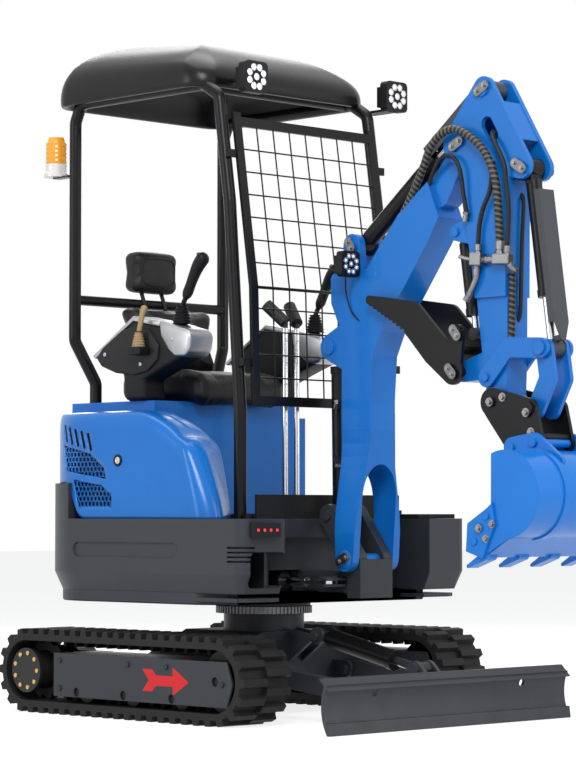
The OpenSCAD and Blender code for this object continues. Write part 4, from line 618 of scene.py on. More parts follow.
def lathe(profile, at, facing, sides=28):
    """A turned part: (distance along the axis, radius) pairs, standing at a point."""
    bm = bmesh.new()
    rings = [[bm.verts.new((r * math.cos(2 * math.pi * k / sides), r * math.sin(2 * math.pi * k / sides), h))
              for k in range(sides)] for h, r in profile]
    stitch(bm, rings)
    turn = Vector(facing).to_track_quat("Z", "X").to_matrix().to_4x4()
    bmesh.ops.transform(bm, matrix=Matrix.Translation(at) @ turn, verts=bm.verts[:])
    return finished("lathe", bm)


lock_at, lock_facing = (-0.150, -0.496, 0.810), (0, -1, 0)
lock_ring = ((-0.004, 0.019), (0.003, 0.019), (0.005, 0.017), (0.005, 0.013), (0.002, 0.012))
lock_core = ((0.0, 0.0115), (0.0035, 0.0115), (0.0045, 0.010), (0.0045, 0.004), (0.003, 0.0035))
lock_steel = bare_steel("lock_steel", (0.62, 0.62, 0.63), 0.2)
piece("cover_lock_ring", lathe(lock_ring, lock_at, lock_facing), black_paint, "upper", smooth=False)
piece("cover_lock", lathe(lock_core, lock_at, lock_facing), lock_steel, "upper", smooth=False)
blue_paint = painted("blue_paint", BLUE, rough=0.26, coat=0.22, gloss=0.2, corner=0.003, worn=0.10)
dress(painted("panel_blue", BLUE, rough=0.24, coat=0.26, gloss=0.2, corner=0.012, worn=0.08),
      "left_cover", "engine_hood")


# Engine. A cast block and its fittings, black with a little oil on it; it stands on the
# deck under the seat.
dress(painted("engine_black", (0.010, 0.010, 0.011), rough=0.5, coat=0.0, gloss=0.3, peel=0.0008, worn=0.3),
      "engine")


# Seat base, floor and pedals. A blue pressed panel under the seat; a black ribbed mat on
# the floor plate, with a toe board and two cast foot treads.
def moulded(name, colour=(0.007, 0.007, 0.008), rough=0.42, grain=420.0, deep=0.0004, corner=0.003, gloss=0.18):
    f = Finish(name)
    soft = f.rounded(corner)
    cells = f.add("ShaderNodeTexVoronoi", None, {"Vector": f.place(), "Scale": grain}, "Distance")
    cloud = f.noise(5.0, 3.0)
    base = f.mix(cloud, tuple(c * 0.8 for c in colour), tuple(c * 1.25 for c in colour))
    rub = f.step(f.edges(soft), 0.08, 0.6)
    base = f.mix(rub * 0.25, base, tuple(min(1.0, c * 2.2 + 0.008) for c in colour))
    return f.surface(Base_Color=base, Roughness=rough + cells * 0.12, Specular_IOR_Level=gloss,
                     Normal=f.bump(cells, deep, soft))


black_plastic = moulded("black_plastic")
dress(painted("seat_panel_blue", BLUE, rough=0.28, coat=0.22, gloss=0.2, corner=0.008, worn=0.08), "seat_base")
dress(moulded("floor_mat", (0.010, 0.010, 0.010), 0.58, 160.0, 0.001), "floor")
dress(moulded("tread_rubber", (0.011, 0.011, 0.011), 0.58, 240.0, 0.0006), "pedals")


# Travel levers. Two chromed steel rods standing in the floor, with a black cross block
# and mushroom pads at the top.
def lever_chrome():
    f = Finish("lever_chrome")
    soft = f.rounded(0.0015)
    top = f.axis("Z") > 1.238
    foot = f.axis("Z") < 0.70
    dark = (top + foot).clamp()
    haze = f.noise(40.0, 3.0)
    base = f.mix(dark, f.mix(haze, *CHROME), (0.009, 0.009, 0.010))
    return f.surface(Base_Color=base, Metallic=1.0 - dark, Roughness=0.12 + dark * 0.34 + haze * 0.05,
                     Specular_IOR_Level=0.35, Normal=soft)


dress(lever_chrome(), "travel_levers")


# Seat and headrest. Foam pads in black vinyl: a crowned pan, a waisted back that leans a
# little, and a headrest with a piped panel on its front and a short neck under it.
def rounded_block(size, radius, cuts, shape):
    bm = bmesh.new()
    bmesh.ops.create_cube(bm, size=2.0)
    bmesh.ops.subdivide_edges(bm, edges=bm.edges[:], cuts=cuts, use_grid_fill=True)
    half = Vector(size) / 2
    for v in bm.verts:
        p = Vector(c * h for c, h in zip(v.co, half))
        core = Vector(max(-(h - radius), min(h - radius, c)) for c, h in zip(p, half))
        out = p - core
        if out.length > 1e-9:
            p = core + out.normalized() * radius
        v.co = shape(p)
    return baked("block", bm)


def stuffed(name, mesh, cap, voxel=0.006, push=4.0):
    form = link(name, mesh)
    grid = form.modifiers.new("voxel", "REMESH")
    grid.mode, grid.voxel_size, grid.use_smooth_shade = "VOXEL", voxel, True
    form = link(name, settled(form))
    rest = np.array([v.co for v in form.data.vertices])
    cloth = form.modifiers.new("cloth", "CLOTH")
    cloth.settings.use_pressure = True
    cloth.settings.uniform_pressure_force = push
    cloth.settings.effector_weights.gravity = 0.0
    for step in range(1, 21):
        scene.frame_set(step)
    puffed = form.evaluated_get(bpy.context.evaluated_depsgraph_get())
    move = np.array([v.co for v in puffed.data.vertices]) - rest
    reach = np.linalg.norm(move, axis=1, keepdims=True)
    move *= np.minimum(1.0, cap / np.maximum(reach, 1e-9))
    form.modifiers.clear()
    scene.frame_set(1)
    form.data.vertices.foreach_set("co", (rest + move).ravel())
    finer = form.modifiers.new("finer", "SUBSURF")
    finer.levels = finer.render_levels = 1
    return settled(form)


def pan_shape(p):
    p.z += 0.010 * math.cos(math.pi * p.y / 0.44) + 0.018 * max(0.0, abs(p.y) - 0.12) / 0.1 * (p.z > 0)
    p.z -= 0.020 * max(0.0, p.x - 0.10) / 0.1
    p.y *= 1.0 - 0.05 * (p.x / 0.2)
    return p + Vector((-0.282, 0.0, 1.050))


def back_shape(p):
    p.y *= 1.0 - 0.14 * math.cos(math.pi * (p.z + 0.02) / 0.30)
    p.x += 0.016 * math.cos(math.pi * p.y / 0.40) + 0.030 * max(0.0, abs(p.y) - 0.10) / 0.1 * (p.x > 0)
    p.x -= (p.z + 0.11) * 0.24
    return p + Vector((-0.445, 0.0, 1.222))


def head_shape(p):
    p.x += 0.010 * math.cos(math.pi * p.y / 0.21)
    p.y *= 1.0 - 0.05 * math.cos(math.pi * p.z / 0.15)
    return p + Vector((-0.558, 0.0, 1.458))


def vinyl_skin():
    f = Finish("seat_vinyl")
    grain = f.add("ShaderNodeTexVoronoi", None, {"Vector": f.place(), "Scale": 620.0}, "Distance")
    crease = f.noise(24.0, 4.0)
    base = f.mix(f.noise(6.0, 3.0), (0.005, 0.005, 0.006), (0.011, 0.011, 0.012))
    return f.surface(Base_Color=base, Roughness=0.36 + grain * 0.14, Specular_IOR_Level=0.26,
                     Normal=f.bump(crease, 0.0016, f.bump(grain, 0.0003)))


vinyl = vinyl_skin()
for name, size, radius, shape, cap, old in (
        ("seat_pan", (0.40, 0.42, 0.082), 0.036, pan_shape, 0.010, "seat"),
        ("seat_back", (0.070, 0.385, 0.225), 0.032, back_shape, 0.010, "seat"),
        ("headrest_pad", (0.076, 0.204, 0.140), 0.030, head_shape, 0.005, "headrest")):
    pad = piece(name, stuffed(name, rounded_block(size, radius, 12, shape), cap), vinyl, "upper", old)


def along(points, count, closed=False):
    """Points spaced evenly on a smooth curve through the given ones."""
    p = [Vector(q) for q in points]
    if closed:
        p = [p[-1]] + p + [p[0], p[1]]
    else:
        p = [p[0] * 2 - p[1]] + p + [p[-1] * 2 - p[-2]]
    fine = []
    for a, b, c, d in zip(p, p[1:], p[2:], p[3:]):
        for i in range(24):
            t = i / 24
            fine.append(0.5 * (2 * b + (c - a) * t + (2 * a - 5 * b + 4 * c - d) * t * t
                               + (3 * b - a - 3 * c + d) * t * t * t))
    fine.append(p[-2])
    dist = [0.0]
    for a, b in zip(fine, fine[1:]):
        dist.append(dist[-1] + (b - a).length)
    out, k = [], 0
    for i in range(count):
        want = dist[-1] * i / (count - 1)
        while k < len(fine) - 2 and dist[k + 1] < want:
            k += 1
        gap = dist[k + 1] - dist[k]
        out.append(fine[k].lerp(fine[k + 1], (want - dist[k]) / gap if gap else 0.0))
    return out


def tube_mesh(name, path, radius, sides=12, closed=False):
    """A round tube on a path; its UV map runs along it in metres and once round it."""
    bm = bmesh.new()
    uv = bm.loops.layers.uv.new("run")
    rings, lengths, side = [], [], None
    for i, p in enumerate(path):
        ahead = (path[(i + 1) % len(path)] if closed else path[min(i + 1, len(path) - 1)]) \
            - (path[i - 1] if closed or i else path[0])
        ahead.normalize()
        side = (side - ahead * side.dot(ahead)).normalized() if side else ahead.orthogonal().normalized()
        up = ahead.cross(side)
        wide = radius(i / (len(path) - 1)) if callable(radius) else radius
        rings.append([bm.verts.new(p + (side * math.cos(a) + up * math.sin(a)) * wide)
                      for a in (2 * math.pi * k / sides for k in range(sides))])
        lengths.append(0.0 if not i else lengths[-1] + (p - path[i - 1]).length)
    pairs = list(zip(range(len(path) - 1), range(1, len(path)))) + ([(len(path) - 1, 0)] if closed else [])
    for i, j in pairs:
        for k in range(sides):
            n = (k + 1) % sides
            face = bm.faces.new((rings[i][k], rings[i][n], rings[j][n], rings[j][k]))
            end = lengths[j] if j else lengths[i] + 0.005
            for loop, (u, v) in zip(face.loops, ((lengths[i], k), (lengths[i], k + 1), (end, k + 1), (end, k))):
                loop[uv].uv = (u, v / sides)
    if not closed:
        bm.faces.new(rings[0][::-1])
        bm.faces.new(rings[-1])
    return finished(name, bm)


piping = moulded("piping_vinyl", (0.014, 0.014, 0.015), 0.34, 900.0, 0.0001)
head_pad = bpy.data.objects["headrest_pad"].data
head_skin = BVHTree.FromPolygons([v.co for v in head_pad.vertices], [p.vertices for p in head_pad.polygons])


def on_head(y, z):
    return head_skin.ray_cast(Vector((0.0, y, z)), Vector((-1.0, 0.0, 0.0)))[0]


panel = [on_head(0.074 * math.copysign(abs(math.cos(a)) ** 0.55, math.cos(a)),
                 1.458 + 0.046 * math.copysign(abs(math.sin(a)) ** 0.55, math.sin(a)))
         for a in (2 * math.pi * k / 24 for k in range(24))]
neck = [tube_mesh("neck", along([(-0.556, s, 1.395), (-0.545, s, 1.37), (-0.530, s, 1.330)], 12), 0.007)
        for s in (-0.045, 0.045)]
welt = tube_mesh("panel", along(panel, 80, True)[:-1], 0.0034, 8, True)
piece("headrest_trim", merged("headrest_trim", [welt] + neck), piping, "upper")


# Consoles. Moulded black arm boxes beside the seat: an egg-shaped side cover held by two
# screws, a silver rim along the top and a silver head block in front of the joystick.
silver = bare_steel("silver_trim", (0.46, 0.47, 0.49), 0.30, 0.002)
console_side = [(-0.440, 1.158), (-0.252, 1.268), (-0.060, 1.232), (0.000, 1.205), (-0.010, 1.140), (-0.100, 1.110),
                (-0.203, 1.072), (-0.196, 1.007), (-0.294, 1.007), (-0.305, 1.094)]
egg = [(-0.425, 1.150), (-0.395, 1.182), (-0.300, 1.236), (-0.230, 1.246), (-0.165, 1.228), (-0.120, 1.180),
       (-0.128, 1.132), (-0.175, 1.098), (-0.240, 1.088), (-0.330, 1.098), (-0.400, 1.122)]
head_block = [(-0.128, 1.262), (-0.030, 1.236), (0.012, 1.226), (0.026, 1.205), (0.018, 1.160), (-0.004, 1.138),
              (-0.050, 1.140), (-0.085, 1.165), (-0.118, 1.205)]
rim = [(-0.452, 1.158), (-0.250, 1.281), (-0.120, 1.256), (-0.126, 1.240), (-0.252, 1.264), (-0.440, 1.148)]
for side, old in ((-1, "right_console"), (1, "left_console")):
    inner, outer = side * 0.247, side * 0.346
    a, b = sorted((inner, outer))
    piece(old + "_body", slab(console_side, a, b, 0.014), black_plastic, "upper", old)
    piece(old + "_cover", slab(egg, *sorted((outer - side * 0.004, outer + side * 0.0085)), 0.005),
          moulded(old + "_cover_plastic", (0.013, 0.013, 0.014), 0.38, 700.0, 0.0002), "upper")
    trim = [slab(head_block, a - 0.004, b + 0.004, 0.014, 4), slab(rim, a - 0.002, b + 0.002, 0.005)]
    piece(old + "_trim", merged(old + "_trim", trim), silver, "upper")
    screws = [lathe(((-0.003, 0.007), (0.002, 0.007), (0.0035, 0.005), (0.0035, 0.003), (0.0015, 0.0028)),
                    (x, outer + side * lift, z), (0, side, 0), 16)
              for x, z, lift in ((-0.380, 1.160, 0.0085), (-0.205, 1.122, 0.0085), (-0.060, 1.196, 0.004))]
    piece(old + "_screws", merged(old + "_screws", screws), silver, "upper", smooth=False)


# Joysticks and blade lever. Black rubber bellows under thick moulded grips that lean to
# the front; the blade lever is a flat tan one with its own boot on the console's side.
def bellows(foot, height, wide, narrow, folds):
    def girth(t):
        return wide + (narrow - wide) * t + 0.08 * wide * math.cos(2 * math.pi * folds * t)
    return tube_mesh("bellows", [Vector(foot) + Vector((0.0, 0.0, height * k / 48)) for k in range(49)], girth, 24)


def grip_girth(t):
    return float(np.interp(t, (0.0, 0.06, 0.12, 0.30, 0.55, 0.75, 0.90, 0.97, 1.0),
                           (0.010, 0.015, 0.017, 0.0165, 0.0185, 0.0215, 0.0225, 0.017, 0.004)))


grip_rubber = moulded("grip_rubber", (0.006, 0.006, 0.007), 0.38, 700.0, 0.0002, 0.002)
sticks = []
for side in (-0.300, 0.300):
    stalk, grip, button = ([(x, side, z) for x, z in line] for line in (
        ((-0.066, 1.300), (-0.056, 1.320), (-0.044, 1.338)),
        ((-0.050, 1.330), (-0.036, 1.352), (-0.014, 1.392), (0.006, 1.424), (0.028, 1.448), (0.046, 1.460)),
        ((0.020, 1.452), (0.014, 1.462), (0.010, 1.468))))
    sticks += [bellows((-0.066, side, 1.248), 0.058, 0.031, 0.017, 6), tube_mesh("stalk", along(stalk, 8), 0.008),
               tube_mesh("grip", along(grip, 40), grip_girth, 20), tube_mesh("button", along(button, 6), 0.007)]
piece("joystick_grips", merged("joystick_grips", sticks), grip_rubber, "upper", "joysticks")

tan_plastic = moulded("tan_plastic", (0.36, 0.245, 0.125), 0.42, 500.0, 0.0003, 0.002, 0.3)
blade = [(-0.196, 1.225), (-0.180, 1.225), (-0.160, 1.285), (-0.150, 1.300), (-0.158, 1.309), (-0.172, 1.308),
         (-0.180, 1.290)]
boot = bellows((-0.190, -0.376, 1.176), 0.046, 0.022, 0.012, 5)
piece("blade_lever_grip", merged("blade_lever_grip", [boot, slab(blade, -0.382, -0.370, 0.004)]), tan_plastic, "upper",
      "blade_lever")
shelf = [(-0.222, 1.150), (-0.160, 1.150), (-0.158, 1.176), (-0.224, 1.176)]
piece("blade_lever_shelf", slab(shelf, -0.400, -0.344, 0.004), black_plastic, "upper")


# Canopy frame and front mesh. Bent round tube and welded rod, powder-coated black; the
# frame stands on the deck and carries the roof, the mesh and the lamps.
dress(painted("tube_black", (0.004, 0.004, 0.005), rough=0.24, coat=0.04, gloss=0.16, peel=0.00012, corner=0.002,
              worn=0.10), "canopy_frame", "mesh_guard")


# Roof. A vacuum-formed black shell with a rolled rim, a domed top that falls to the front
# and a hollow underside.
roof_x, roof_y, roof_corner, roof_low = (-0.630, 0.117), 0.389, 0.092, 1.989
roof_line = ((-0.630, 2.086), (-0.590, 2.150), (-0.520, 2.188), (-0.420, 2.208), (-0.300, 2.213), (-0.150, 2.192),
             (0.000, 2.148), (0.117, 2.098))


def roof_ring(inset, share, drop=0.0):
    """The roof's plan at one height; its long left edge has four points more."""
    mid, ring = (roof_x[0] + roof_x[1]) / 2, []
    hx, hy = (roof_x[1] - roof_x[0]) / 2 - inset, roof_y - inset
    r = max(roof_corner - inset * 0.6, 0.02)

    def put(x, y):
        crown = float(np.interp(x, *zip(*roof_line))) - 0.018 * (abs(y) / roof_y) ** 2
        ring.append((x, y, roof_low + share * (crown - roof_low) - drop))

    for cx, cy, start in ((hx - r, hy - r, 0), (-hx + r, hy - r, 90), (-hx + r, -hy + r, 180), (hx - r, -hy + r, 270)):
        for k in range(9):
            a = math.radians(start + k * 11.25)
            put(mid + cx + r * math.cos(a), cy + r * math.sin(a))
        if start == 0:
            x, y, _ = ring[-1]
            for t in (0.2, 0.4, 0.6, 0.8):
                put(x + (mid - hx + r - x) * t, y + (hy - y) * t)
    return ring


def roof_shell():
    bm, rings = bmesh.new(), []
    rows = [(0.150, 0.90, 0.030), (0.060, 0.78, 0.024), (0.034, 0.40, 0.010), (0.026, 0.06, 0.0), (0.018, 0.0, 0.0),
            (0.006, 0.0, 0.0), (0.0, 0.05, 0.0), (0.0, 0.30, 0.0), (0.004, 0.46, 0.0), (0.012, 0.60, 0.0),
            (0.026, 0.72, 0.0), (0.050, 0.82, 0.0), (0.085, 0.90, 0.0), (0.130, 0.955, 0.0), (0.190, 0.985, 0.0),
            (0.260, 0.998, 0.0)]
    for row in rows:
        rings.append([bm.verts.new(p) for p in roof_ring(*row)])
    stitch(bm, rings)
    shell = link("roof_shell", finished("roof_shell", bm))
    finer = shell.modifiers.new("finer", "SUBSURF")
    finer.levels = finer.render_levels = 1
    return settled(shell)


roof_plastic = moulded("roof_plastic", (0.006, 0.006, 0.007), 0.22, 1100.0, 0.00006, 0.004, 0.24)
piece("roof_shell", roof_shell(), roof_plastic, "upper", "roof")


# Work lamps. Square black housings with cast fins and nine light diodes, each in a bright
# cup under a clear lens; two on the canopy and one on the boom.
def diode_tree():
    g = Grove("diodes", Cup="NodeSocketMaterial", Lens="NodeSocketMaterial", Depth="NodeSocketFloat")
    cup = g.add("GeometryNodeMeshCone", None, {"Vertices": 16, "Radius Top": 1.0, "Radius Bottom": 0.55,
                                               "Depth": g.value("Depth")}, "Mesh")
    ball = g.add("GeometryNodeMeshUVSphere", None, {"Segments": 12, "Rings": 7, "Radius": 0.62}, "Mesh")
    flat = g.add("GeometryNodeTransform", None, {"Geometry": ball, "Translation": (0.0, 0.0, 0.30),
                                                 "Scale": (1.0, 1.0, 0.7)})
    return g.close((cup, "Cup"), (flat, "Lens"))


def diode_glass(name, colour, glow):
    f = Finish(name)
    base = f.mix(f.noise(400.0, 2.0), tuple(c * 0.85 for c in colour), colour)
    return f.surface(Base_Color=base, Roughness=0.14 + f.noise(90.0, 2.0) * 0.08, Emission_Color=base,
                     Emission_Strength=glow, Coat_Weight=0.5)


def cast(names, start, direction):
    """The first point of the named solids that a straight line meets."""
    best = None
    for n in names:
        data = node[n].data
        hit = BVHTree.FromPolygons([v.co for v in data.vertices], [p.vertices for p in data.polygons]).ray_cast(
            Vector(start), Vector(direction))
        if hit[0] is not None and (best is None or hit[3] < best[1]):
            best = (hit[0], hit[3])
    return best[0] if best else None


diodes = diode_tree()
white_glass = diode_glass("diode_white", (0.92, 0.93, 0.95), 0.35)
red_glass = diode_glass("diode_red", (0.75, 0.02, 0.02), 0.25)
bright_cup = bare_steel("lamp_reflector", (0.75, 0.76, 0.78), 0.16)
dark_cup = moulded("diode_well", (0.02, 0.004, 0.004), 0.3)
lamp_plastic = moulded("lamp_housing", (0.006, 0.006, 0.007), 0.38, 700.0, 0.0002, 0.003)
dress(lamp_plastic, "canopy_lamps", "boom_lamp")


def ring_of_nine(x, y, z, reach, size):
    spots = [((x, y, z), (1.0, 0.0, 0.0), size)]
    for k in range(8):
        a = 2 * math.pi * (k + 0.5) / 8
        spots.append(((x, y + reach * math.cos(a), z + reach * math.sin(a)), (1.0, 0.0, 0.0), size))
    return spots


face_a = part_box("canopy_lamps")[1][0]
face_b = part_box("boom_lamp")[1][0]
canopy_spots = ring_of_nine(face_a - 0.0040, -0.250, 2.015, 0.032, 0.0115)
canopy_spots += ring_of_nine(face_a - 0.0190, 0.410, 2.024, 0.032, 0.0115)
boom_spots = ring_of_nine(face_b - 0.0032, -0.103, 1.416, 0.0256, 0.0092)
for name, spots, body in (("canopy_diodes", canopy_spots, "upper"), ("boom_diodes", boom_spots, "boom")):
    planted(name, diodes, spots, body, Cup=bright_cup, Lens=white_glass, Depth=0.5)


# Beacon and marker lamp. A ribbed amber dome on a white base, on a bracket behind the
# canopy; and a dark strip with four red diodes let into the skirt.
def beacon_lens():
    f = Finish("beacon_amber")
    z = f.axis("Z")
    base_part = z < 1.8095
    ribs = f.noise(5.0, 1.0)
    amber = f.mix(ribs, (0.80, 0.27, 0.012), (0.95, 0.42, 0.03))
    colour = f.mix(base_part, amber, (0.70, 0.69, 0.66))
    bracket = (f.axis("X") > -0.610) + (z < 1.765)
    colour = f.mix(bracket.clamp(), colour, (0.008, 0.008, 0.009))
    return f.surface(Base_Color=colour, Roughness=0.16 + base_part * 0.2, Coat_Weight=0.3,
                     Normal=f.rounded(0.0015))


dress(beacon_lens(), "beacon")
dress(moulded("marker_strip", (0.010, 0.010, 0.011), 0.35, 500.0, 0.0002), "marker_lamp")
marker = [((0.4475, -0.4565 + 0.0263 * k, 0.592), (1.0, 0.0, 0.0), 0.0095) for k in range(4)]
planted("marker_diodes", diodes, marker, "upper", Cup=dark_cup, Lens=red_glass, Depth=0.2)


# Swing post and its ram. A heavy casting on a vertical pin at the front of the deck,
# dark grey, turned by a ram under the floor.
dress(grey_paint, "swing_post")
dress(black_paint, "swing_barrel")
dress(bare_steel("rod_steel", (0.66, 0.67, 0.69), 0.12), "swing_rod")


# Boom and its ram. A bent box of blue plate with a forked foot; the ram behind it has a
# black tube and a chromed rod.
boom_split = 0.900


def boom_mesh():
    """The box above the split as the solid has it; below, a foot that widens into two legs under an arch."""
    bm = bmesh.new()
    bm.from_mesh(node["boom"].data)
    bmesh.ops.remove_doubles(bm, verts=bm.verts[:], dist=1e-5)
    bmesh.ops.bisect_plane(bm, geom=bm.verts[:] + bm.edges[:] + bm.faces[:], plane_co=(0, 0, boom_split),
                           plane_no=(0, 0, 1), clear_inner=True)
    bmesh.ops.edgenet_fill(bm, edges=[e for e in bm.edges if e.is_boundary])
    box = finished("boom_box", bm)
    ahead = cast(("boom",), (2.0, 0.04, boom_split), (-1, 0, 0)).x
    behind = cast(("boom",), (-1.0, 0.04, boom_split), (1, 0, 0)).x
    bm, rings = bmesh.new(), []
    pin_x, pin_z, eye_r, wide, narrow = 0.465, 0.500, 0.038, 0.103, 0.0549
    for z in (0.4622, 0.4645, 0.470, 0.479, 0.490, 0.50, 0.54, 0.58, 0.62, 0.66, 0.70, 0.74, 0.78, 0.82, 0.86,
              boom_split):
        t = min(1.0, max(0.0, (z - 0.560) / 0.320))
        half = wide + (narrow - wide) * t * t * (3 - 2 * t)
        round_off = eye_r - math.sqrt(max(0.0, eye_r ** 2 - min(0.0, z - pin_z) ** 2))
        s = max(0.0, (z - pin_z) / (boom_split - pin_z))
        front_x = pin_x + eye_r + (ahead - pin_x - eye_r) * s - round_off
        back_x = pin_x - eye_r + (behind - pin_x + eye_r) * s + round_off
        corners = ((back_x, -half), (front_x, -half), (front_x, half), (back_x, half))
        rings.append([bm.verts.new((x, y, z)) for x, y in corners])
    stitch(bm, rings)
    foot = finished("boom_foot", bm)
    arch = [(-0.0755, 0.40)] + [(-0.0755 * math.cos(a), 0.690 + 0.105 * math.sin(a))
                                for a in (math.pi * k / 20 for k in range(21))] + [(0.0755, 0.40)]
    foot = cut(foot, [finished("arch", extruded([(0.2, y, z) for y, z in arch], (0.6, 0, 0)))])
    pin = lathe(((-0.109, 0.020), (-0.1035, 0.030), (-0.1030, 0.018), (0.1030, 0.018), (0.1035, 0.030),
                 (0.109, 0.020)), (pin_x, 0.0, pin_z), (0, 1, 0))
    return merged("boom_weldment", [box, foot, pin])


piece("boom_weldment", boom_mesh(), blue_paint, "boom", "boom", smooth=False)
dress(black_paint, "boom_barrel")
dress(chrome_rod("boom_rod_chrome", (0.362, 0.6355), (0.354, 1.165), 0.0175), "boom_rod")


# Arm and its ram. A tapered blue box with wide head cheeks; the ram lies over the boom
# and its rod runs under a folded grey guard.
GUARD = (0.030, 0.034, 0.041)
dress(blue_paint, "arm")
dress(black_paint, "arm_barrel")
dress(chrome_rod("arm_rod_chrome", (0.452, 1.480), (1.000, 1.912), 0.0148, GUARD), "arm_rod")


# Bucket linkage. An arched double lever, a wide link and the bucket ram with its grey
# guard; the hitch and the thumb are black plate, the thumb with a serrated edge.
dress(blue_paint, "lever", "link")
dress(black_paint, "bucket_barrel", "thumb_barrel", "hitch", "thumb")
dress(chrome_rod("bucket_rod_chrome", (1.146, 1.667), (1.222, 1.126), 0.0138, GUARD), "bucket_rod")
dress(chrome_rod("thumb_rod_chrome", (0.882, 1.490), (0.926, 1.182), 0.0115), "thumb_rod")


# Bucket. Rolled blue plate with side cutters and teeth, a little polished at the edges;
# it hangs on the quick hitch. Its blue is the panels' blue made a seventh brighter: a
# painted highlight, for the light that falls on the bucket.
# Painted highlight: the panels' blue raised by a seventh in each channel, a lit copy of the same paint.
dress(painted("bucket_lit_blue", (0.002, 0.160, 0.570), rough=0.26, coat=0.22, gloss=0.2, corner=0.003, worn=0.22),
      "bucket")


# Hoses. Rubber hydraulic hoses from the boom over the arm joint to a steel manifold on
# the arm's side; two are bundled in black spiral wrap.
def hose_rubber(name, wrap):
    f = Finish(name)
    run = f.add("ShaderNodeSeparateXYZ", None, {0: f.add("ShaderNodeUVMap", {"uv_map": "run"})}, "X")
    turn = f.add("ShaderNodeSeparateXYZ", None, {0: f.add("ShaderNodeUVMap", {"uv_map": "run"})}, "Y")
    wave = (run * wrap + turn).math("FRACT")
    ridge = f.step(abs(wave - 0.5), 0.10, 0.42)
    band = (0.110, 0.098, 0.080) if wrap < 200 else (0.012, 0.012, 0.013)
    base = f.mix(ridge, band, (0.005, 0.005, 0.005))
    return f.surface(Base_Color=base, Roughness=0.40 + f.noise(60.0, 3.0) * 0.15, Specular_IOR_Level=0.35,
                     Normal=f.bump(1.0 - ridge, 0.004 if wrap < 200 else 0.0006))


def front(y, z, off):
    """A point off the arm's front face."""
    return cast(("arm",), (1.6, y, z), (-1.0, 0.0, 0.0)) + Vector((off, 0.0, 0.0))


def boom_top(x, y, off):
    """A point over the boom's upper face."""
    return cast(("boom",), (x, y, 2.4), (0.0, 0.0, -1.0)) + Vector((0.0, 0.0, off))


spiral, plain_hose = hose_rubber("spiral_wrap", 62.0), hose_rubber("hose_rubber", 420.0)
hoses = (
    ("hose_bundle_upper", 0.024, spiral, ("boom", "arm"), [
        boom_top(0.640, -0.040, -0.016), boom_top(0.675, -0.044, 0.002), boom_top(0.710, -0.050, 0.018),
        (0.745, -0.060, 1.664), (0.775, -0.070, 1.702), (0.808, -0.079, 1.749),
        (0.851, -0.084, 1.784), (0.912, -0.086, 1.797), (0.976, -0.085, 1.768), (1.035, -0.082, 1.712),
        (1.067, -0.078, 1.638), (1.076, -0.074, 1.555), (1.078, -0.070, 1.472), (1.078, -0.068, 1.432)]),
    ("hose_loop", 0.013, plain_hose, ("boom", "arm"), [
        boom_top(0.770, -0.046, -0.012), (0.800, -0.056, 1.680), (0.831, -0.066, 1.708), (0.858, -0.072, 1.721),
        (0.888, -0.075, 1.7185), (0.912, -0.076, 1.701), (0.925, -0.075, 1.674), (0.931, -0.073, 1.640),
        (0.935, -0.070, 1.600), (0.945, -0.066, 1.540)]),
    ("hose_middle", 0.014, plain_hose, ("arm",), [
        (1.045, -0.060, 1.690), (1.047, -0.068, 1.650), (1.041, -0.072, 1.599), (1.014, -0.072, 1.548),
        (0.998, -0.069, 1.502), (0.992, -0.068, 1.455), (0.992, -0.068, 1.432)]),
    ("hose_head", 0.014, plain_hose, ("arm",), [
        (1.028, -0.040, 1.782), (1.044, -0.062, 1.768), (1.068, -0.073, 1.735), (1.098, -0.072, 1.676),
        (1.104, -0.070, 1.622), (1.110, -0.069, 1.571), (1.112, -0.068, 1.520), (1.108, -0.067, 1.465),
        (1.104, -0.067, 1.432)]),
    ("hose_lower", 0.020, spiral, ("arm",), [
        front(-0.038, 1.352, 0.012), front(-0.039, 1.290, 0.013), front(-0.040, 1.220, 0.013),
        front(-0.040, 1.190, 0.013), front(-0.040, 1.158, 0.010), front(-0.038, 1.125, 0.001),
        front(-0.035, 1.097, -0.013)]),
    ("hose_ram", 0.013, plain_hose, ("arm",), [
        front(0.012, 1.600, -0.010), front(0.012, 1.570, 0.010), front(0.010, 1.480, 0.010),
        front(0.006, 1.380, 0.010), front(0.004, 1.280, 0.010), front(0.004, 1.230, 0.006),
        front(0.004, 1.205, -0.012)]),
    ("lamp_lead", 0.005, plain_hose, ("boom",), [
        (0.450, -0.080, 1.385), (0.440, -0.070, 1.345), (0.442, -0.063, 1.310), (0.456, -0.059, 1.270),
        (0.480, -0.056, 1.246), (0.492, -0.050, 1.240)]),
)


def run_of(path):
    return sum((b - a).length for a, b in zip(path, path[1:]))


for name, thick, finish, bodies, route in hoses:
    path = along(route, 48)
    hose = piece(name, tube_mesh(name, path, thick / 2), finish, bodies[0] if len(bodies) == 1 else None)
    if len(bodies) == 2:
        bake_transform(hose)
    run_of(path)
    "stiff" if thick > 0.01 else "medium"


def fitting(at, towards, radius):
    """A hex nut with a collar and a crimped sleeve, standing at a point."""
    bm = bmesh.new()
    for low, high, wide, sides in ((0.0, 0.9, 1.25, 6), (0.9, 1.3, 0.9, 14), (1.3, 3.2, 1.12, 14)):
        made = bmesh.ops.create_cone(bm, cap_ends=True, segments=sides, radius1=wide * radius, radius2=wide * radius,
                                     depth=(high - low) * radius)
        bmesh.ops.translate(bm, vec=(0, 0, (high + low) / 2 * radius), verts=made["verts"])
    turn = Vector(towards).to_track_quat("Z", "X").to_matrix().to_4x4()
    bmesh.ops.transform(bm, matrix=Matrix.Translation(at) @ turn, verts=bm.verts[:])
    return baked("fitting", bm)


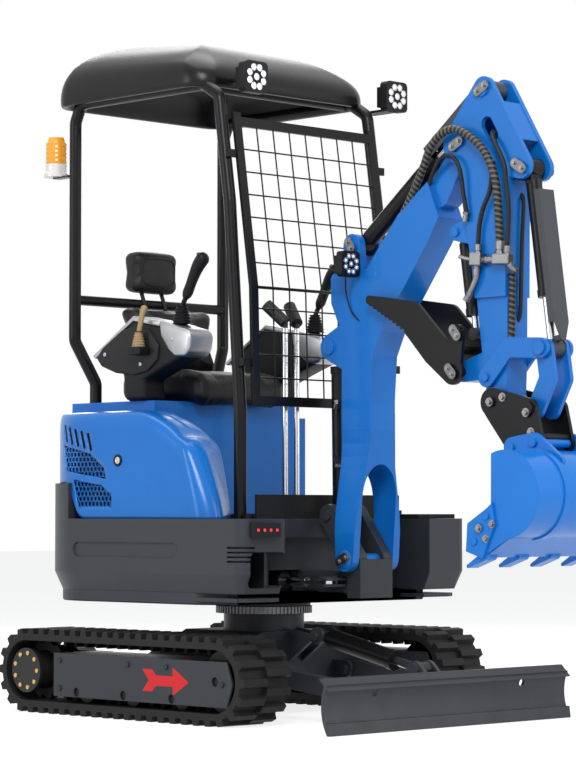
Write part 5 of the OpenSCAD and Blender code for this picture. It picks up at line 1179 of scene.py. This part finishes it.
ram_thick = 0.013
ram_path = along([(0.372, -0.040, 0.985), (0.378, -0.050, 0.950), (0.384, -0.054, 0.890), (0.380, -0.050, 0.830),
                  (0.376, -0.040, 0.800)], 32)
ram_hose = piece("boom_ram_hose", tube_mesh("boom_ram_hose", ram_path, ram_thick / 2), plain_hose, "boom_barrel")
run_of(ram_path)
zinc = bare_steel("zinc_plate", (0.25, 0.25, 0.255), 0.30)
blocks = [slab([(0.968, 1.382), (1.012, 1.378), (1.014, 1.418), (0.970, 1.422)], -0.086, -0.052, 0.004),
          slab([(1.056, 1.380), (1.120, 1.376), (1.122, 1.408), (1.058, 1.412)], -0.084, -0.053, 0.004)]
pipes = [tube_mesh("pipe", along(line, count), radius) for line, count, radius in (
    ([(0.990, -0.068, 1.392), (0.987, -0.069, 1.352), (0.972, -0.069, 1.322), (0.955, -0.067, 1.298)], 20, 0.0085),
    ([(1.005, -0.068, 1.398), (1.035, -0.069, 1.394), (1.062, -0.068, 1.394)], 8, 0.009),
    ([(1.112, -0.068, 1.384), (1.116, -0.066, 1.372), (1.122, -0.056, 1.362), (1.124, -0.045, 1.358)], 14, 0.0085),
    ([(0.975, -0.070, 1.400), (0.950, -0.074, 1.404), (0.925, -0.078, 1.412)], 8, 0.006))]
ends = [((0.992, -0.068, 1.412), (0, 0, 1), 0.010), ((1.078, -0.068, 1.406), (0, 0, 1), 0.013),
        ((1.104, -0.067, 1.400), (0.1, 0, 1), 0.010), ((0.987, -0.069, 1.384), (-0.05, 0, -1), 0.010),
        ((0.958, -0.067, 1.302), (-0.6, 0, -0.8), 0.009), ((0.944, -0.066, 1.545), (-0.2, 0.0, -1.0), 0.009),
        ((1.022, -0.068, 1.396), (1, 0, -0.1), 0.009)]
ram_ends = [fitting((0.368, -0.034, 0.996), (0.10, -0.25, -0.95), 0.009),
            fitting((0.372, -0.034, 0.790), (0.10, -0.25, 0.95), 0.009)]
piece("boom_ram_fittings", merged("boom_ram_fittings", ram_ends), zinc, "boom_barrel", smooth=False)
piece("arm_manifold", merged("arm_manifold", blocks + pipes + [fitting(*e) for e in ends]), zinc, "arm", smooth=False)


# Bolts and pin keepers. Zinc hex bolts with washers, on the hitch, the thumb and the
# bucket's side cutters; each pin's end plate is dark steel with two bolts.
def bolt_tree():
    g = Grove("bolts", Bolt="NodeSocketMaterial")
    head = g.add("GeometryNodeMeshCylinder", None, {"Vertices": 6, "Radius": 1.0, "Depth": 0.8}, "Mesh")
    lifted = g.add("GeometryNodeTransform", None, {"Geometry": head, "Translation": (0.0, 0.0, 0.6)})
    washer = g.add("GeometryNodeMeshCylinder", None, {"Vertices": 16, "Radius": 1.5, "Depth": 0.4}, "Mesh")
    both = g.add("GeometryNodeJoinGeometry", None, {"Geometry": [lifted, washer]})
    return g.close((both, "Bolt"))


bolts = bolt_tree()


def keepers(name, body, names, pairs, size):
    """Oval keeper plates on both sides of a solid, each with two bolts; a single place gets a bolt alone."""
    plate_r, sunk, thick = 0.0155, 0.002, 0.004
    spots, plates = [], []
    for ends in pairs:
        centre = [sum(c) / len(ends) for c in zip(*ends)]
        for side in (-1.0, 1.0):
            *lie, middle = (cast(names, (x, side * 0.8, z), (0.0, -side, 0.0)) for x, z in (*ends, centre))
            if None in lie:
                continue
            out = max(abs(p.y) for p in (*lie, middle or lie[0]))
            if len(ends) == 2:
                plates.append(slab(stadium(*ends, plate_r), *sorted((side * (out - sunk), side * (out + thick))),
                                   0.0012, 2))
                out += thick
            spots += [((x, side * out, z), (0.0, side, 0.0), size) for x, z in ends]
    planted(name + "_bolts", bolts, spots, body, Bolt=zinc)
    if plates:
        piece(name + "_keepers", merged(name + "_keepers", plates), keeper_steel, body, smooth=False)


keeper_steel = bare_steel("keeper_steel", (0.17, 0.17, 0.175), 0.32)
keepers("arm", "arm", ("arm",), [((0.986, 1.905), (1.014, 1.919)), ((1.132, 1.676), (1.160, 1.658))], 0.0065)
keepers("arm_joint", "arm", ("arm",), [((0.884, 1.748), (0.912, 1.762))], 0.0065)
keepers("boom", "boom", ("boom",), [((0.445, 1.490), (0.459, 1.470)), ((0.452, 0.494), (0.478, 0.506))], 0.0065)
keepers("hitch", "bucket", ("hitch",),
        [((1.046, 0.972),), ((1.187, 0.937),), ((1.090, 0.985),), ((1.200, 0.880),)], 0.009)
keepers("thumb", "thumb", ("thumb",),
        [((0.899, 1.076), (0.915, 1.058)), ((0.918, 1.192), (0.934, 1.172)), ((0.842, 1.236),)], 0.006)
keepers("bucket", "bucket", ("bucket",), [((1.150, 0.600),), ((1.172, 0.570),), ((1.196, 0.612),)], 0.008)
